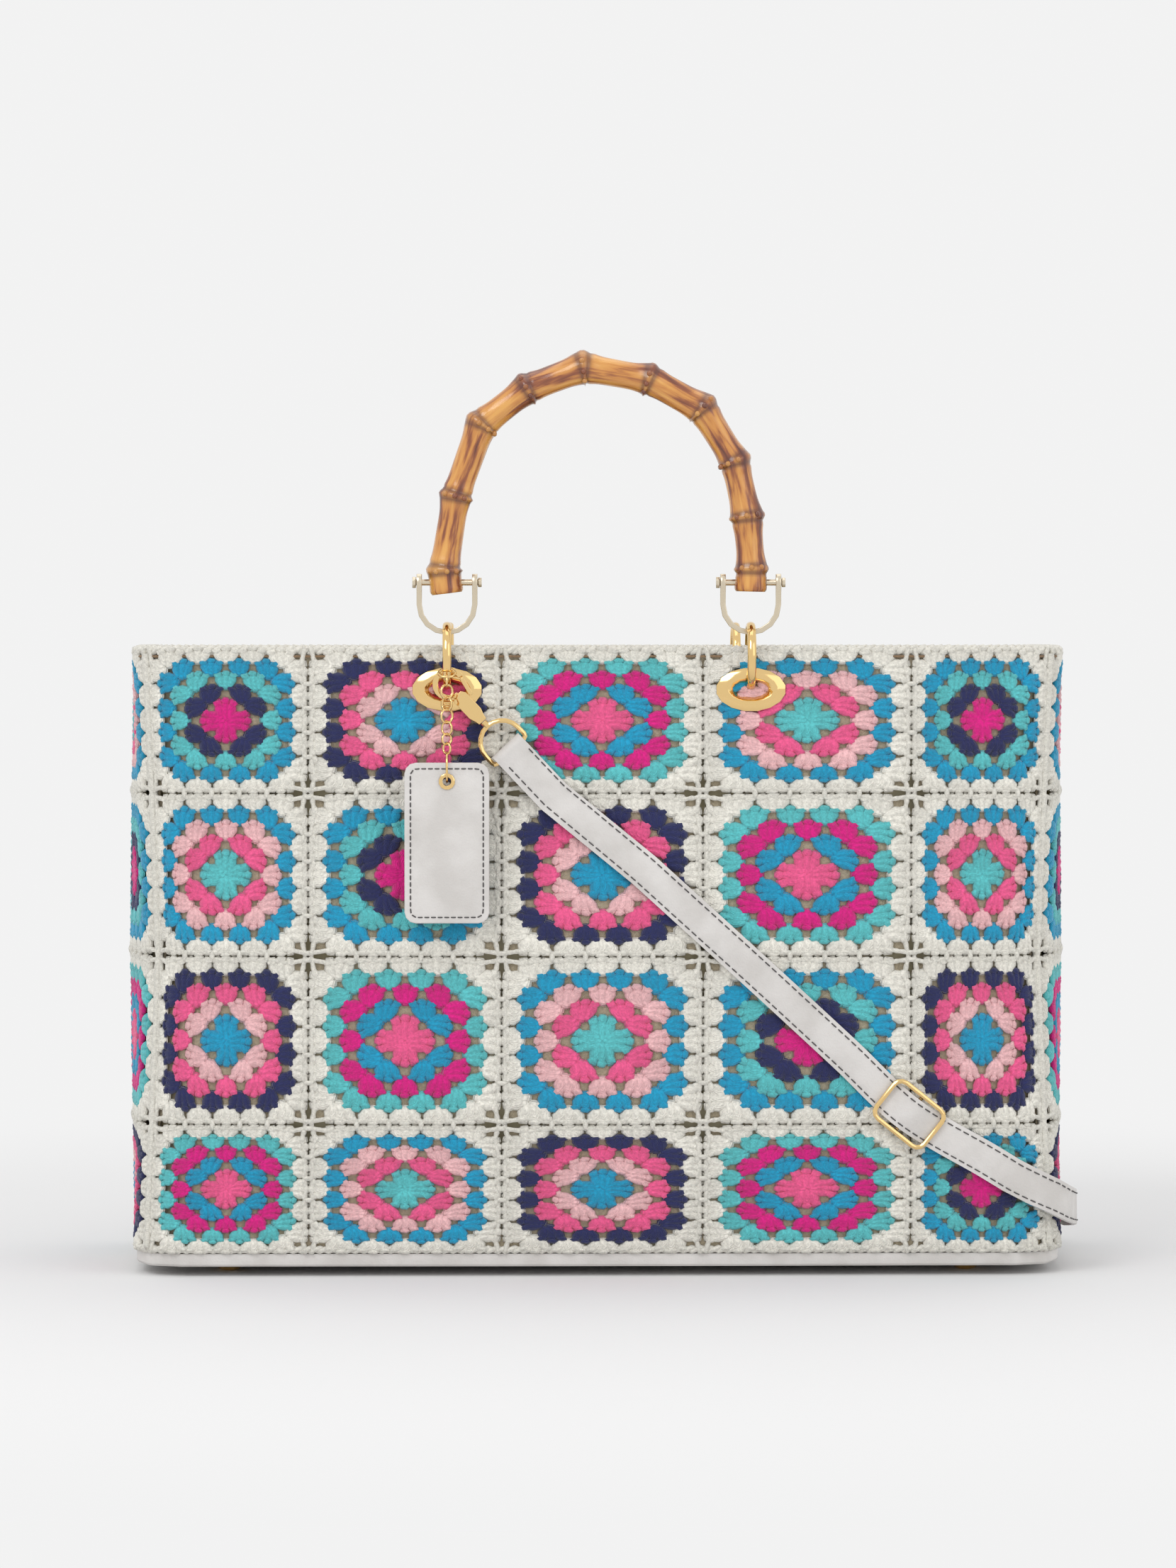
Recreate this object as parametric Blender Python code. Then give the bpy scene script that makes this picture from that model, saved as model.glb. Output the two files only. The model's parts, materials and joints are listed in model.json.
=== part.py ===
# Crochet tote bag of granny squares, with bamboo handles, gold hardware, a shoulder strap and a tag.
# Sizes below are in millimetres; add_object turns them into metres. The front of the bag faces -Y.

import math

import bmesh
import bpy
from mathutils import Matrix, Vector

MM = 0.001

# Bag body
BAG_WIDTH = 420.0
BAG_DEPTH = 160.0
RIM_HEIGHT = 284.0
CORNER_RADIUS = 22.0
CROCHET_BOTTOM = 10.6
COVER_THICKNESS = 4.0
SQUARE_DOME = 1.0
SLIT_WIDTH = 3.0
SLIT_LENGTH = 15.5
SLIT_NECK = 2.2
LINING_THICKNESS = 1.5
SEAT_GAP = 0.3
LINING_GAP = 0.5
LINING_DROP = 2.0

# Base and feet
BASE_THICKNESS = 3.0
BASE_EDGE_INSET = 0.5
FOOT_HEIGHT = 4.2
FOOT_RADIUS = 6.5
FOOT_FLAT_RADIUS = 2.6
FOOT_SPREAD_X = 336.0
FOOT_SPREAD_Y = 104.0

# Eyelets and rings
EYELET_SPACING = 136.8
EYELET_HEIGHT = 265.0
EYELET_WIDTH = 32.0
EYELET_TALL = 20.0
EYELET_HOLE_WIDTH = 15.4
EYELET_HOLE_TALL = 6.6
EYELET_SEAT = 0.5
EYELET_LIP = 1.7
EYELET_EDGE = 0.9
RING_OUTER_RADIUS = 15.5
RING_THICKNESS = 3.0
RING_WIDTH = 4.0
RING_LIFT = 15.0
RING_CLEARANCE = 0.6

# Shackles and pins
SHACKLE_HALF_WIDTH = 12.5
SHACKLE_WIRE = 2.4
SHACKLE_DEPTH = 3.2
SHACKLE_TALL = 22.5
EAR_WIDTH = 7.6
PIN_RADIUS = 1.5
PIN_CLEARANCE = 0.3
PIN_HEAD_RADIUS = 2.7
PIN_HEAD_THICKNESS = 1.6
REAR_SHACKLE_SWING = 101.0

# Handle
HANDLE_HEIGHT = 96.5
HANDLE_RADIUS = 6.4
HANDLE_NODE_RADIUS = 8.0
HANDLE_END_DROP = 5.0
HANDLE_SIDES = 8
NODE_SHARE = 0.25

# Snap hook
HOOK_ANGLE = 46.7
HOOK_INNER_RADIUS = 5.0
HOOK_WIRE = 2.6
HOOK_THICKNESS = 2.0
HOOK_BODY_LENGTH = 15.0
HOOK_BODY_WIDTH = 7.0
HOOK_GATE_WIDTH = 2.0
HOOK_GATE_GAP = 0.5
SWIVEL_RING_RADIUS = 9.8
SWIVEL_RING_FLAT = 5.5
SWIVEL_RING_CORNER = 1.5
SWIVEL_WIRE = 2.4
SWIVEL_POST_RADIUS = 1.6
SWIVEL_POST_LENGTH = 2.6

# Strap and slider
STRAP_WIDTH = 16.0
STRAP_THICKNESS = 2.2
STRAP_FOLD_LENGTH = 28.0
SLIDER_LENGTH = 30.0
SLIDER_WIDTH = 23.0
SLIDER_WIRE = 2.4
SLIDER_BAR_RADIUS = 1.0
SLIDER_X = 139.7
SLIDER_Z = 73.7

# Tag
TAG_WIDTH = 38.0
TAG_TALL = 72.0
TAG_THICKNESS = 3.0
TAG_CORNER = 5.0
TAG_TOP = 232.4
GROMMET_DROP = 8.4
GROMMET_RADIUS = 3.7
GROMMET_HOLE_RADIUS = 2.0
LINK_WIRE = 1.2
LINK_SIDES = 10
FIRST_LINK_ANGLE = 120.0

# The bag stands this far from the middle of everything, because the strap and rear handle stick out
STAND_X = -2.0
STAND_Y = -10.0

HALF_WIDTH = BAG_WIDTH / 2
HALF_DEPTH = BAG_DEPTH / 2
CROCHET_TALL = RIM_HEIGHT - CROCHET_BOTTOM

# Granny squares: where the joints fall, as shares of a panel's width and of the crochet's height
FRONT_JOINTS = (0.0, 0.181, 0.393, 0.614, 0.843, 1.0)
SIDE_JOINTS = (0.0, 0.5, 1.0)
ROW_JOINTS = (0.0, 0.213, 0.491, 0.7595, 1.0)

# The body's swell: a row for each joint between crochet rows, from the bottom up. The front and side
# columns are how far each panel's middle stands out, and the pinch is how far the corners are drawn in,
# all as shares of the bag's depth.
BODY_SWELL = (
    # height, front, side, pinch
    (0.0, 0.006, 0.012, 0.0),
    (0.213, 0.025, 0.021, 0.022),
    (0.491, 0.044, 0.028, 0.048),
    (0.7595, 0.011, 0.022, 0.025),
    (1.0, 0.007, 0.012, 0.0),
)
PINCH_REACH = 0.30

# Bamboo handle: the kinks at its nodes, as shares of half the span between the pins and of the height
HANDLE_KINKS = (
    # across, up
    (-1.019, 0.057),
    (-0.940, 0.40),
    (-0.776, 0.737),
    (-0.475, 0.902),
    (-0.101, 1.0),
    (0.327, 0.948),
    (0.681, 0.810),
    (0.896, 0.565),
    (0.974, 0.306),
    (1.004, 0.063),
)

# Strap route round the bag: along the wall from the middle of the front, height and lift off the wall
STRAP_ROUTE = (
    # along, height, lift
    (20.0, 184.0, 4.0),
    (70.0, 138.5, 3.4),
    (110.0, 101.5, 3.0),
    (SLIDER_X, SLIDER_Z, 3.0),
    (176.0, 52.0, 4.0),
    (203.0, 36.0, 7.0),
    (222.0, 29.0, 7.6),
    (281.0, 23.0, 4.8),
    (340.0, 26.0, 7.6),
    (359.0, 32.0, 7.6),
    (440.0, 92.0, 3.8),
    (510.0, 150.0, 3.6),
    (570.0, 199.0, 3.8),
)

# Chain links below the first one: turn about the vertical, width as a share of the main links' width,
# and height as a share of their own width
CHAIN_LINKS = (
    # turn, width, tall
    (90.0, 0.78, 1.0),
    (35.0, 1.0, 1.0),
    (-45.0, 1.0, 1.0),
    (35.0, 1.0, 1.0),
    (-45.0, 1.0, 1.0),
    (35.0, 0.8, 1.0),
    (-50.0, 0.8, 1.0),
    (90.0, 1.4, 1.5),
)

MATERIALS = {
    # name: colour, roughness, metallic
    "yarn": ((0.86, 0.84, 0.77), 0.95, 0.0),
    "lining_cloth": ((0.68, 0.63, 0.45), 0.9, 0.0),
    "white_leather": ((0.70, 0.67, 0.64), 0.5, 0.0),
    "gold": ((0.83, 0.60, 0.30), 0.22, 1.0),
    "champagne": ((0.72, 0.62, 0.46), 0.28, 1.0),
    "bamboo": ((0.60, 0.33, 0.09), 0.4, 0.0),
}


# Shared helpers


def make_material(name):
    material = bpy.data.materials.get(name)
    if material is None:
        colour, roughness, metallic = MATERIALS[name]
        material = bpy.data.materials.new(name)
        material.use_nodes = True
        shader = material.node_tree.nodes["Principled BSDF"]
        shader.inputs["Base Color"].default_value = (*colour, 1.0)
        shader.inputs["Roughness"].default_value = roughness
        shader.inputs["Metallic"].default_value = metallic
        material.diffuse_color = (*colour, 1.0)
    return material


def add_object(name, bm, material, origin=(0.0, 0.0, 0.0), stand=None, smooth=True):
    """Turn a bmesh in millimetres into a named object whose origin is at the given place."""
    bmesh.ops.recalc_face_normals(bm, faces=bm.faces)
    bmesh.ops.translate(bm, verts=bm.verts, vec=-Vector(origin))
    bmesh.ops.scale(bm, verts=bm.verts, vec=(MM, MM, MM))
    mesh = bpy.data.meshes.new(name)
    bm.to_mesh(mesh)
    bm.free()
    mesh.materials.append(make_material(material))
    if smooth:
        mesh.shade_smooth()
        mesh.set_sharp_from_angle(angle=math.radians(35))
    obj = bpy.data.objects.new(name, mesh)
    bpy.context.collection.objects.link(obj)
    obj.location = Vector(origin) * MM
    obj.parent = stand
    return obj


def loft(sections, closed=False):
    """Skin a row of sections with equal point counts, and cap both ends unless the row is closed."""
    bm = bmesh.new()
    rings = [[bm.verts.new(point) for point in section] for section in sections]
    count = len(rings[0])
    pairs = list(zip(rings, rings[1:]))
    if closed:
        pairs.append((rings[-1], rings[0]))
    for lower, upper in pairs:
        for i in range(count):
            j = (i + 1) % count
            bm.faces.new((lower[i], lower[j], upper[j], upper[i]))
    if not closed:
        bm.faces.new(rings[0])
        bm.faces.new(rings[-1])
    bmesh.ops.recalc_face_normals(bm, faces=bm.faces)
    return bm


def round_section(centre, across, up, radius, sides):
    """A circle about centre in the plane of the unit vectors across and up."""
    points = []
    for i in range(sides):
        angle = math.tau * (i + 0.5) / sides
        points.append(centre + across * (radius * math.cos(angle)) + up * (radius * math.sin(angle)))
    return points


def flat_section(centre, across, up, width, height):
    """A rectangle about centre, width along across and height along up."""
    a = across * (width / 2)
    b = up * (height / 2)
    return [centre - a - b, centre + a - b, centre + a + b, centre - a + b]


def torus(centre, across, up, radius, wire, steps, sides, tall=1.0):
    """A wire ring about centre in the plane of across and up, stretched along up by tall."""
    normal = across.cross(up)
    sections = []
    for i in range(steps):
        angle = math.tau * (i + 0.5) / steps
        point = across * math.cos(angle) + up * (tall * math.sin(angle))
        out = (across * (tall * math.cos(angle)) + up * math.sin(angle)).normalized()
        sections.append(round_section(centre + point * radius, out, normal, wire / 2, sides))
    return loft(sections, closed=True)


def rod(start, end, radius, sides):
    """A plain round bar from start to end."""
    along = (end - start).normalized()
    across = along.orthogonal().normalized()
    up = along.cross(across)
    return loft([round_section(p, across, up, radius, sides) for p in (start, end)])


def turned(base, profile, sides):
    """A solid turned about the vertical through base, from rows of radius and height."""
    x_axis = Vector((1, 0, 0))
    y_axis = Vector((0, 1, 0))
    sections = [round_section(base + Vector((0, 0, height)), x_axis, y_axis, radius, sides)
                for radius, height in profile]
    return loft(sections)


def turn_about(bm, pivot, degrees):
    """Turn a bmesh about the X direction through pivot."""
    matrix = Matrix.Rotation(math.radians(degrees), 3, "X")
    bmesh.ops.rotate(bm, cent=pivot, matrix=matrix, verts=bm.verts)


def combine(target, tools, operation):
    """Join or cut a target object with tool objects, and leave only the target."""
    for tool in tools:
        modifier = target.modifiers.new("combine", "BOOLEAN")
        modifier.operation = operation
        modifier.solver = "EXACT"
        modifier.object = tool
    depsgraph = bpy.context.evaluated_depsgraph_get()
    mesh = bpy.data.meshes.new_from_object(target.evaluated_get(depsgraph))
    mesh.name = target.name
    target.modifiers.clear()
    target.data = mesh
    for tool in tools:
        bpy.data.objects.remove(tool)


def make_tool(bm, origin, stand):
    return add_object("tool", bm, "gold", origin, stand, smooth=False)


def smooth_route(points, fine_at, fine_steps, steps):
    """A smooth curve through the points, with finer steps on both sides of one of them."""
    route = []
    vectors = [Vector(p) for p in points]
    padded = [2 * vectors[0] - vectors[1], *vectors, 2 * vectors[-1] - vectors[-2]]
    for a, b, c, d in zip(padded, padded[1:], padded[2:], padded[3:]):
        count = fine_steps if fine_at in (b.x, c.x) else steps
        for i in range(count):
            t = i / count
            route.append(0.5 * (2 * b + (c - a) * t + (2 * a - 5 * b + 4 * c - d) * t ** 2
                                + (3 * b - a - 3 * c + d) * t ** 3))
    route.append(vectors[-1])
    return route


# The bag's wall, as a surface: distance along the wall from the middle of the front, and height

CORNER_ARC = math.pi * CORNER_RADIUS / 2
FRONT_SPAN = 2 * (HALF_WIDTH - CORNER_RADIUS) + CORNER_ARC
SIDE_SPAN = 2 * (HALF_DEPTH - CORNER_RADIUS) + CORNER_ARC
ROUND_SPAN = 2 * (FRONT_SPAN + SIDE_SPAN)


def plan_point(along):
    """Place and outward direction on the plain rounded rectangle that the wall follows."""
    turn = 0
    along = (along + FRONT_SPAN / 2) % ROUND_SPAN
    spans = (FRONT_SPAN, SIDE_SPAN, FRONT_SPAN, SIDE_SPAN)
    while along >= spans[turn] and turn < 3:
        along -= spans[turn]
        turn += 1
    span = spans[turn]
    depth = (HALF_DEPTH, HALF_WIDTH)[turn % 2]
    flat = (span - CORNER_ARC) / 2
    offset = along - span / 2
    bend = max(0.0, abs(offset) - flat) / CORNER_RADIUS
    side = math.copysign(1.0, offset)
    local_x = side * (min(abs(offset), flat) + CORNER_RADIUS * math.sin(bend))
    local_y = -(depth - CORNER_RADIUS * (1 - math.cos(bend)))
    spin = Matrix.Rotation(math.radians(90 * turn), 3, "Z")
    place = spin @ Vector((local_x, local_y, 0))
    outward = spin @ Vector((side * math.sin(bend), -math.cos(bend), 0))
    share = abs(offset) / (span / 2)
    return place, outward, share, turn % 2


def swell_at(height):
    """The body's swell at a height, from the table's rows."""
    share = min(1.0, max(0.0, (height - CROCHET_BOTTOM) / CROCHET_TALL))
    for low, high in zip(BODY_SWELL, BODY_SWELL[1:]):
        if share <= high[0]:
            t = (share - low[0]) / (high[0] - low[0])
            return [BAG_DEPTH * (a + (b - a) * t) for a, b in zip(low[1:], high[1:])]
    return [BAG_DEPTH * value for value in BODY_SWELL[-1][1:]]


def wall(along, height, lift=0.0):
    """A point lift millimetres outside the cover's plain outer face, and the outward direction."""
    place, outward, share, is_side = plan_point(along)
    front, side, pinch = swell_at(height)
    middle = math.cos(share * math.pi / 2) ** 2
    reach = PINCH_REACH * (1.0 if not is_side else FRONT_SPAN / SIDE_SPAN)
    corner = max(0.0, 1 - (1 - share) / reach) ** 2
    out = (side if is_side else front) * middle - pinch * corner
    return place + outward * (out + lift) + Vector((0, 0, height)), outward


def joint_places():
    """Where the joints between columns fall, as distances along the wall."""
    places = []
    start = -FRONT_SPAN / 2
    for span, joints in ((FRONT_SPAN, FRONT_JOINTS), (SIDE_SPAN, SIDE_JOINTS),
                         (FRONT_SPAN, FRONT_JOINTS), (SIDE_SPAN, SIDE_JOINTS)):
        for share in joints[:-1]:
            places.append((start + span * share, share == 0.0))
        start += span
    return places


def row_heights():
    return [CROCHET_BOTTOM + CROCHET_TALL * share for share in ROW_JOINTS]


def add_cover(stand):
    """The crochet wall: low domed squares, grooves at the joints and open slits at the crossings."""
    half_slit = SLIT_WIDTH / 2
    columns = []
    places = joint_places()
    ends = [place for place, _ in places[1:]] + [places[0][0] + ROUND_SPAN]
    seams = [place for place, is_seam in places if is_seam] + [ends[-1]]
    for (start, is_seam), end in zip(places, ends):
        columns.append((start - half_slit, "joint", is_seam))
        columns.append((start + half_slit, "near", is_seam))
        columns.append((start + half_slit + SLIT_LENGTH, "middle", False))
        columns.append((end - half_slit - SLIT_LENGTH, "near", end in seams))
    heights = row_heights()
    rows = []
    for number, (low, high) in enumerate(zip(heights, heights[1:])):
        is_bottom = number == 0
        is_top = number == len(heights) - 2
        if is_bottom:
            rows.append((low, "near", True))
        else:
            rows.append((low - half_slit, "joint", False))
            rows.append((low + half_slit, "neck", False))
            rows.append((low + half_slit + SLIT_NECK, "near", False))
        rows.append((low + half_slit + SLIT_LENGTH, "middle", False))
        rows.append((high - half_slit - SLIT_LENGTH, "near", is_top))
        if not is_top:
            rows.append((high - half_slit - SLIT_NECK, "neck", False))
    rows.append((heights[-1], "end", False))

    bm = bmesh.new()
    outer = []
    inner = []
    for height, _, _ in rows:
        level = min(abs(height - h) for h in heights)
        outer_row = []
        inner_row = []
        for along, _, _ in columns:
            nearest = min(abs((along - p + ROUND_SPAN / 2) % ROUND_SPAN - ROUND_SPAN / 2) for p, _ in places)
            domed = SQUARE_DOME if min(nearest, level) > SLIT_LENGTH / 2 else 0.0
            outer_row.append(bm.verts.new(wall(along, height, domed)[0]))
            inner_row.append(bm.verts.new(wall(along, height, -COVER_THICKNESS)[0]))
        outer.append(outer_row)
        inner.append(inner_row)

    def is_slit(row, column):
        row_kind, row_edge = rows[row][1:]
        column_kind, column_edge = columns[column][1:]
        across = row_kind == "joint" and column_kind == "near" and not column_edge
        upright = column_kind == "joint" and row_kind == "near" and not (row_edge or column_edge)
        return across or upright

    count = len(columns)
    kept = {(r, c) for r in range(len(rows) - 1) for c in range(count) if not is_slit(r, c)}
    for row, column in sorted(kept):
        after = (column + 1) % count
        bm.faces.new((outer[row][column], outer[row][after], outer[row + 1][after], outer[row + 1][column]))
        bm.faces.new((inner[row][column], inner[row + 1][column], inner[row + 1][after], inner[row][after]))
        edges = (
            ((row - 1, column), (row, column), (row, after)),
            ((row + 1, column), (row + 1, column), (row + 1, after)),
            ((row, (column - 1) % count), (row, column), (row + 1, column)),
            ((row, after), (row, after), (row + 1, after)),
        )
        for neighbour, a, b in edges:
            if neighbour not in kept:
                bm.faces.new((outer[a[0]][a[1]], outer[b[0]][b[1]], inner[b[0]][b[1]], inner[a[0]][a[1]]))
    return add_object("crochet_cover", bm, "yarn", stand=stand, smooth=False)


def wall_loop(alongs, height, lift):
    return [wall(along, height, lift)[0] for along in alongs]


def lining_alongs():
    """Places along the wall for the lining and base: the joints, and the cover's own lines at corners."""
    near = SLIT_WIDTH / 2
    far = near + SLIT_LENGTH
    alongs = []
    for place, is_seam in joint_places():
        if is_seam:
            alongs.extend((place - far, place - near, place + near, place + far))
        else:
            alongs.append(place)
    for middle in (0.0, ROUND_SPAN / 2):
        for side in (-1, 1):
            for edge in (-1, 1):
                alongs.append(middle + side * EYELET_SPACING / 2 + edge * EYELET_WIDTH / 2)
    return sorted(alongs)


BASE_UNDERSIDE = FOOT_HEIGHT + SEAT_GAP
LINING_OUTSIDE = -(COVER_THICKNESS + LINING_GAP)
LINING_INSIDE = LINING_OUTSIDE - LINING_THICKNESS
BASE_TOP = BASE_UNDERSIDE + BASE_THICKNESS


def add_lining(stand):
    alongs = lining_alongs()
    floor = BASE_TOP + SEAT_GAP
    heights = [floor, *row_heights()[1:-1], RIM_HEIGHT - LINING_DROP]
    outside = [wall_loop(alongs, h, LINING_OUTSIDE) for h in heights]
    inside_heights = [floor + LINING_THICKNESS, *heights[1:]]
    inside = [wall_loop(alongs, h, LINING_INSIDE) for h in inside_heights]
    return add_object("lining", loft(outside + inside[::-1]), "lining_cloth", stand=stand, smooth=False)


def add_base(stand):
    alongs = lining_alongs()
    edge_top = CROCHET_BOTTOM - SEAT_GAP
    inset = LINING_OUTSIDE + SEAT_GAP
    sections = [
        wall_loop(alongs, BASE_UNDERSIDE, -BASE_EDGE_INSET - 1.0),
        wall_loop(alongs, BASE_UNDERSIDE + 1.0, -BASE_EDGE_INSET),
        wall_loop(alongs, edge_top, -BASE_EDGE_INSET),
        wall_loop(alongs, edge_top, inset),
        wall_loop(alongs, BASE_TOP, inset),
    ]
    return add_object("base_panel", loft(sections), "white_leather", stand=stand)


def add_feet(stand):
    corners = [(sx * FOOT_SPREAD_X / 2, sy * FOOT_SPREAD_Y / 2) for sy in (-1, 1) for sx in (-1, 1)]
    profile = (
        (FOOT_FLAT_RADIUS, 0.0),
        (0.72 * FOOT_RADIUS, 0.14 * FOOT_HEIGHT),
        (0.94 * FOOT_RADIUS, 0.5 * FOOT_HEIGHT),
        (FOOT_RADIUS, FOOT_HEIGHT),
    )
    for number, (x, y) in enumerate(corners, 1):
        add_object(f"foot_{number}", turned(Vector((x, y, 0)), profile, 12), "gold", (x, y, 0), stand)


# Hardware at one corner of the rim. It is made for the front and turned half round for the rear.


def rim_face(side):
    """The cover's plain outer face at an eyelet, as a distance in front of the bag's middle."""
    return -wall(side * EYELET_SPACING / 2, EYELET_HEIGHT)[0].y


FACE_Y = rim_face(1)
WALL_INSIDE = LINING_INSIDE - EYELET_SEAT
RING_Y = -(FACE_Y + (WALL_INSIDE + SQUARE_DOME) / 2)
RING_Z = EYELET_HEIGHT + RING_LIFT
RING_INNER_RADIUS = RING_OUTER_RADIUS - RING_THICKNESS
SHACKLE_BOTTOM = RING_Z + RING_INNER_RADIUS - RING_CLEARANCE - SHACKLE_WIRE / 2
PIN_Z = SHACKLE_BOTTOM + SHACKLE_TALL
RIM_PLACES = (
    # name, side, rear
    ("front_left", -1, False),
    ("front_right", 1, False),
    ("rear_left", -1, True),
    ("rear_right", 1, True),
)


def to_rear(bm, rear):
    """Turn a piece made for the front half round to the rear wall, keeping its side."""
    if rear:
        bmesh.ops.scale(bm, verts=bm.verts, vec=(1, -1, 1))
        bmesh.ops.reverse_faces(bm, faces=bm.faces)
    return bm


def rear_place(place, rear):
    return Vector((place.x, -place.y if rear else place.y, place.z))


def oval(share, out, side, sides=16):
    """An oval between the eyelet's hole (share 0) and its rim (share 1), at a distance outward."""
    half_x = (EYELET_HOLE_WIDTH + (EYELET_WIDTH - EYELET_HOLE_WIDTH) * share) / 2
    half_z = (EYELET_HOLE_TALL + (EYELET_TALL - EYELET_HOLE_TALL) * share) / 2
    points = []
    for i in range(sides):
        angle = math.tau * (i + 0.5) / sides
        points.append(Vector((side * EYELET_SPACING / 2 + half_x * math.cos(angle), -(FACE_Y + out),
                              EYELET_HEIGHT + half_z * math.sin(angle))))
    return points


BARREL_SHARE = 0.16
MOUTH_SHARE = 0.30


def add_eyelet(name, side, rear, stand):
    front = SQUARE_DOME + EYELET_SEAT
    back = LINING_INSIDE - EYELET_SEAT
    profile = (
        (0.0, front - EYELET_EDGE),
        (MOUTH_SHARE, front + EYELET_LIP),
        (0.6, front + EYELET_LIP),
        (1.0, front),
        (BARREL_SHARE, front),
        (BARREL_SHARE, back),
        (0.7, back),
        (MOUTH_SHARE, back - EYELET_EDGE),
        (0.0, back + EYELET_EDGE),
    )
    bm = loft([oval(share, out, side) for share, out in profile], closed=True)
    add_object(f"eyelet_{name}", to_rear(bm, rear), "gold", stand=stand)


def cut_eyelet_holes(pieces, stand):
    reach = 20.0
    for piece in pieces:
        tools = []
        for _, side, rear in RIM_PLACES:
            share = BARREL_SHARE + 2 * SEAT_GAP / (EYELET_TALL - EYELET_HOLE_TALL)
            bm = loft([oval(share, -reach, side), oval(share, reach, side)])
            tools.append(make_tool(to_rear(bm, rear), (0, 0, 0), stand))
        combine(piece, tools, "DIFFERENCE")


def ring_centre(side):
    return Vector((side * EYELET_SPACING / 2, RING_Y, RING_Z))


def add_ring(name, side, rear, stand):
    centre = ring_centre(side)
    x_axis = Vector((1, 0, 0))
    sections = []
    steps = 20
    w = RING_WIDTH / 2
    t = RING_THICKNESS / 2
    corners = ((-w, 0), (-w / 2, t), (w / 2, t), (w, 0), (w / 2, -t), (-w / 2, -t))
    for i in range(steps):
        angle = math.tau * (i + 0.5) / steps
        out = Vector((0, math.cos(angle), math.sin(angle)))
        middle = centre + out * (RING_OUTER_RADIUS - RING_THICKNESS / 2)
        sections.append([middle + x_axis * a + out * b for a, b in corners])
    add_object(f"ring_{name}", to_rear(loft(sections, closed=True), rear), "gold", stand=stand)


def shackle_turn(rear):
    """How far the shackles are turned about the rings as shown, before the mirror to the rear."""
    return REAR_SHACKLE_SWING if rear else 0.0


def pin_place(side, rear):
    """The middle of a shackle's pin as shown, before the mirror to the rear."""
    turn = Matrix.Rotation(math.radians(shackle_turn(rear)), 3, "X")
    return ring_centre(side) + turn @ Vector((0, 0, PIN_Z - RING_Z))


def add_shackle(name, side, rear, stand):
    centre = ring_centre(side)
    bend_z = SHACKLE_BOTTOM + SHACKLE_HALF_WIDTH
    y_axis = Vector((0, 1, 0))
    ear_top = PIN_Z + EAR_WIDTH / 2
    ear = (
        # height, share of the ear's width
        (ear_top, 0.42),
        (PIN_Z + 0.34 * EAR_WIDTH, 0.8),
        (PIN_Z, 1.0),
        (PIN_Z - 0.34 * EAR_WIDTH, 0.84),
        (PIN_Z - 0.62 * EAR_WIDTH, SHACKLE_DEPTH / EAR_WIDTH),
    )
    stations = [(Vector((-SHACKLE_HALF_WIDTH, 0, h)), Vector((-1, 0, 0)), EAR_WIDTH * s) for h, s in ear]
    steps = 8
    for i in range(steps + 1):
        angle = math.pi * (1 + i / steps)
        out = Vector((math.cos(angle), 0, math.sin(angle)))
        stations.append((Vector((0, 0, bend_z)) + out * SHACKLE_HALF_WIDTH, out, SHACKLE_DEPTH))
    stations.extend((Vector((SHACKLE_HALF_WIDTH, 0, h)), Vector((1, 0, 0)), EAR_WIDTH * s)
                    for h, s in reversed(ear))
    base = Vector((centre.x, centre.y, 0))
    bm = loft([flat_section(base + p, out, y_axis, SHACKLE_WIRE, depth) for p, out, depth in stations])
    hole = rod(Vector((centre.x - 30, centre.y, PIN_Z)), Vector((centre.x + 30, centre.y, PIN_Z)),
               PIN_RADIUS + PIN_CLEARANCE, 8)
    turn_about(bm, centre, shackle_turn(rear))
    turn_about(hole, centre, shackle_turn(rear))
    origin = rear_place(centre, rear)
    shackle = add_object(f"shackle_{name}", to_rear(bm, rear), "champagne", origin, stand)
    combine(shackle, [make_tool(to_rear(hole, rear), origin, stand)], "DIFFERENCE")


def add_pin(name, side, rear, stand):
    middle = pin_place(side, rear)
    inside = SHACKLE_HALF_WIDTH + SHACKLE_WIRE / 2 + SEAT_GAP
    outside = inside + PIN_HEAD_THICKNESS
    profile = ((-outside, PIN_HEAD_RADIUS), (-inside, PIN_HEAD_RADIUS), (-inside, PIN_RADIUS),
               (inside, PIN_RADIUS), (inside, PIN_HEAD_RADIUS * 0.85), (outside, PIN_HEAD_RADIUS * 0.85))
    y_axis = Vector((0, 1, 0))
    z_axis = Vector((0, 0, 1))
    sections = [round_section(middle + Vector((x, 0, 0)), y_axis, z_axis, r, 8) for x, r in profile]
    add_object(f"pin_{name}", to_rear(loft(sections), rear), "champagne",
               rear_place(middle, rear), stand)


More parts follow.
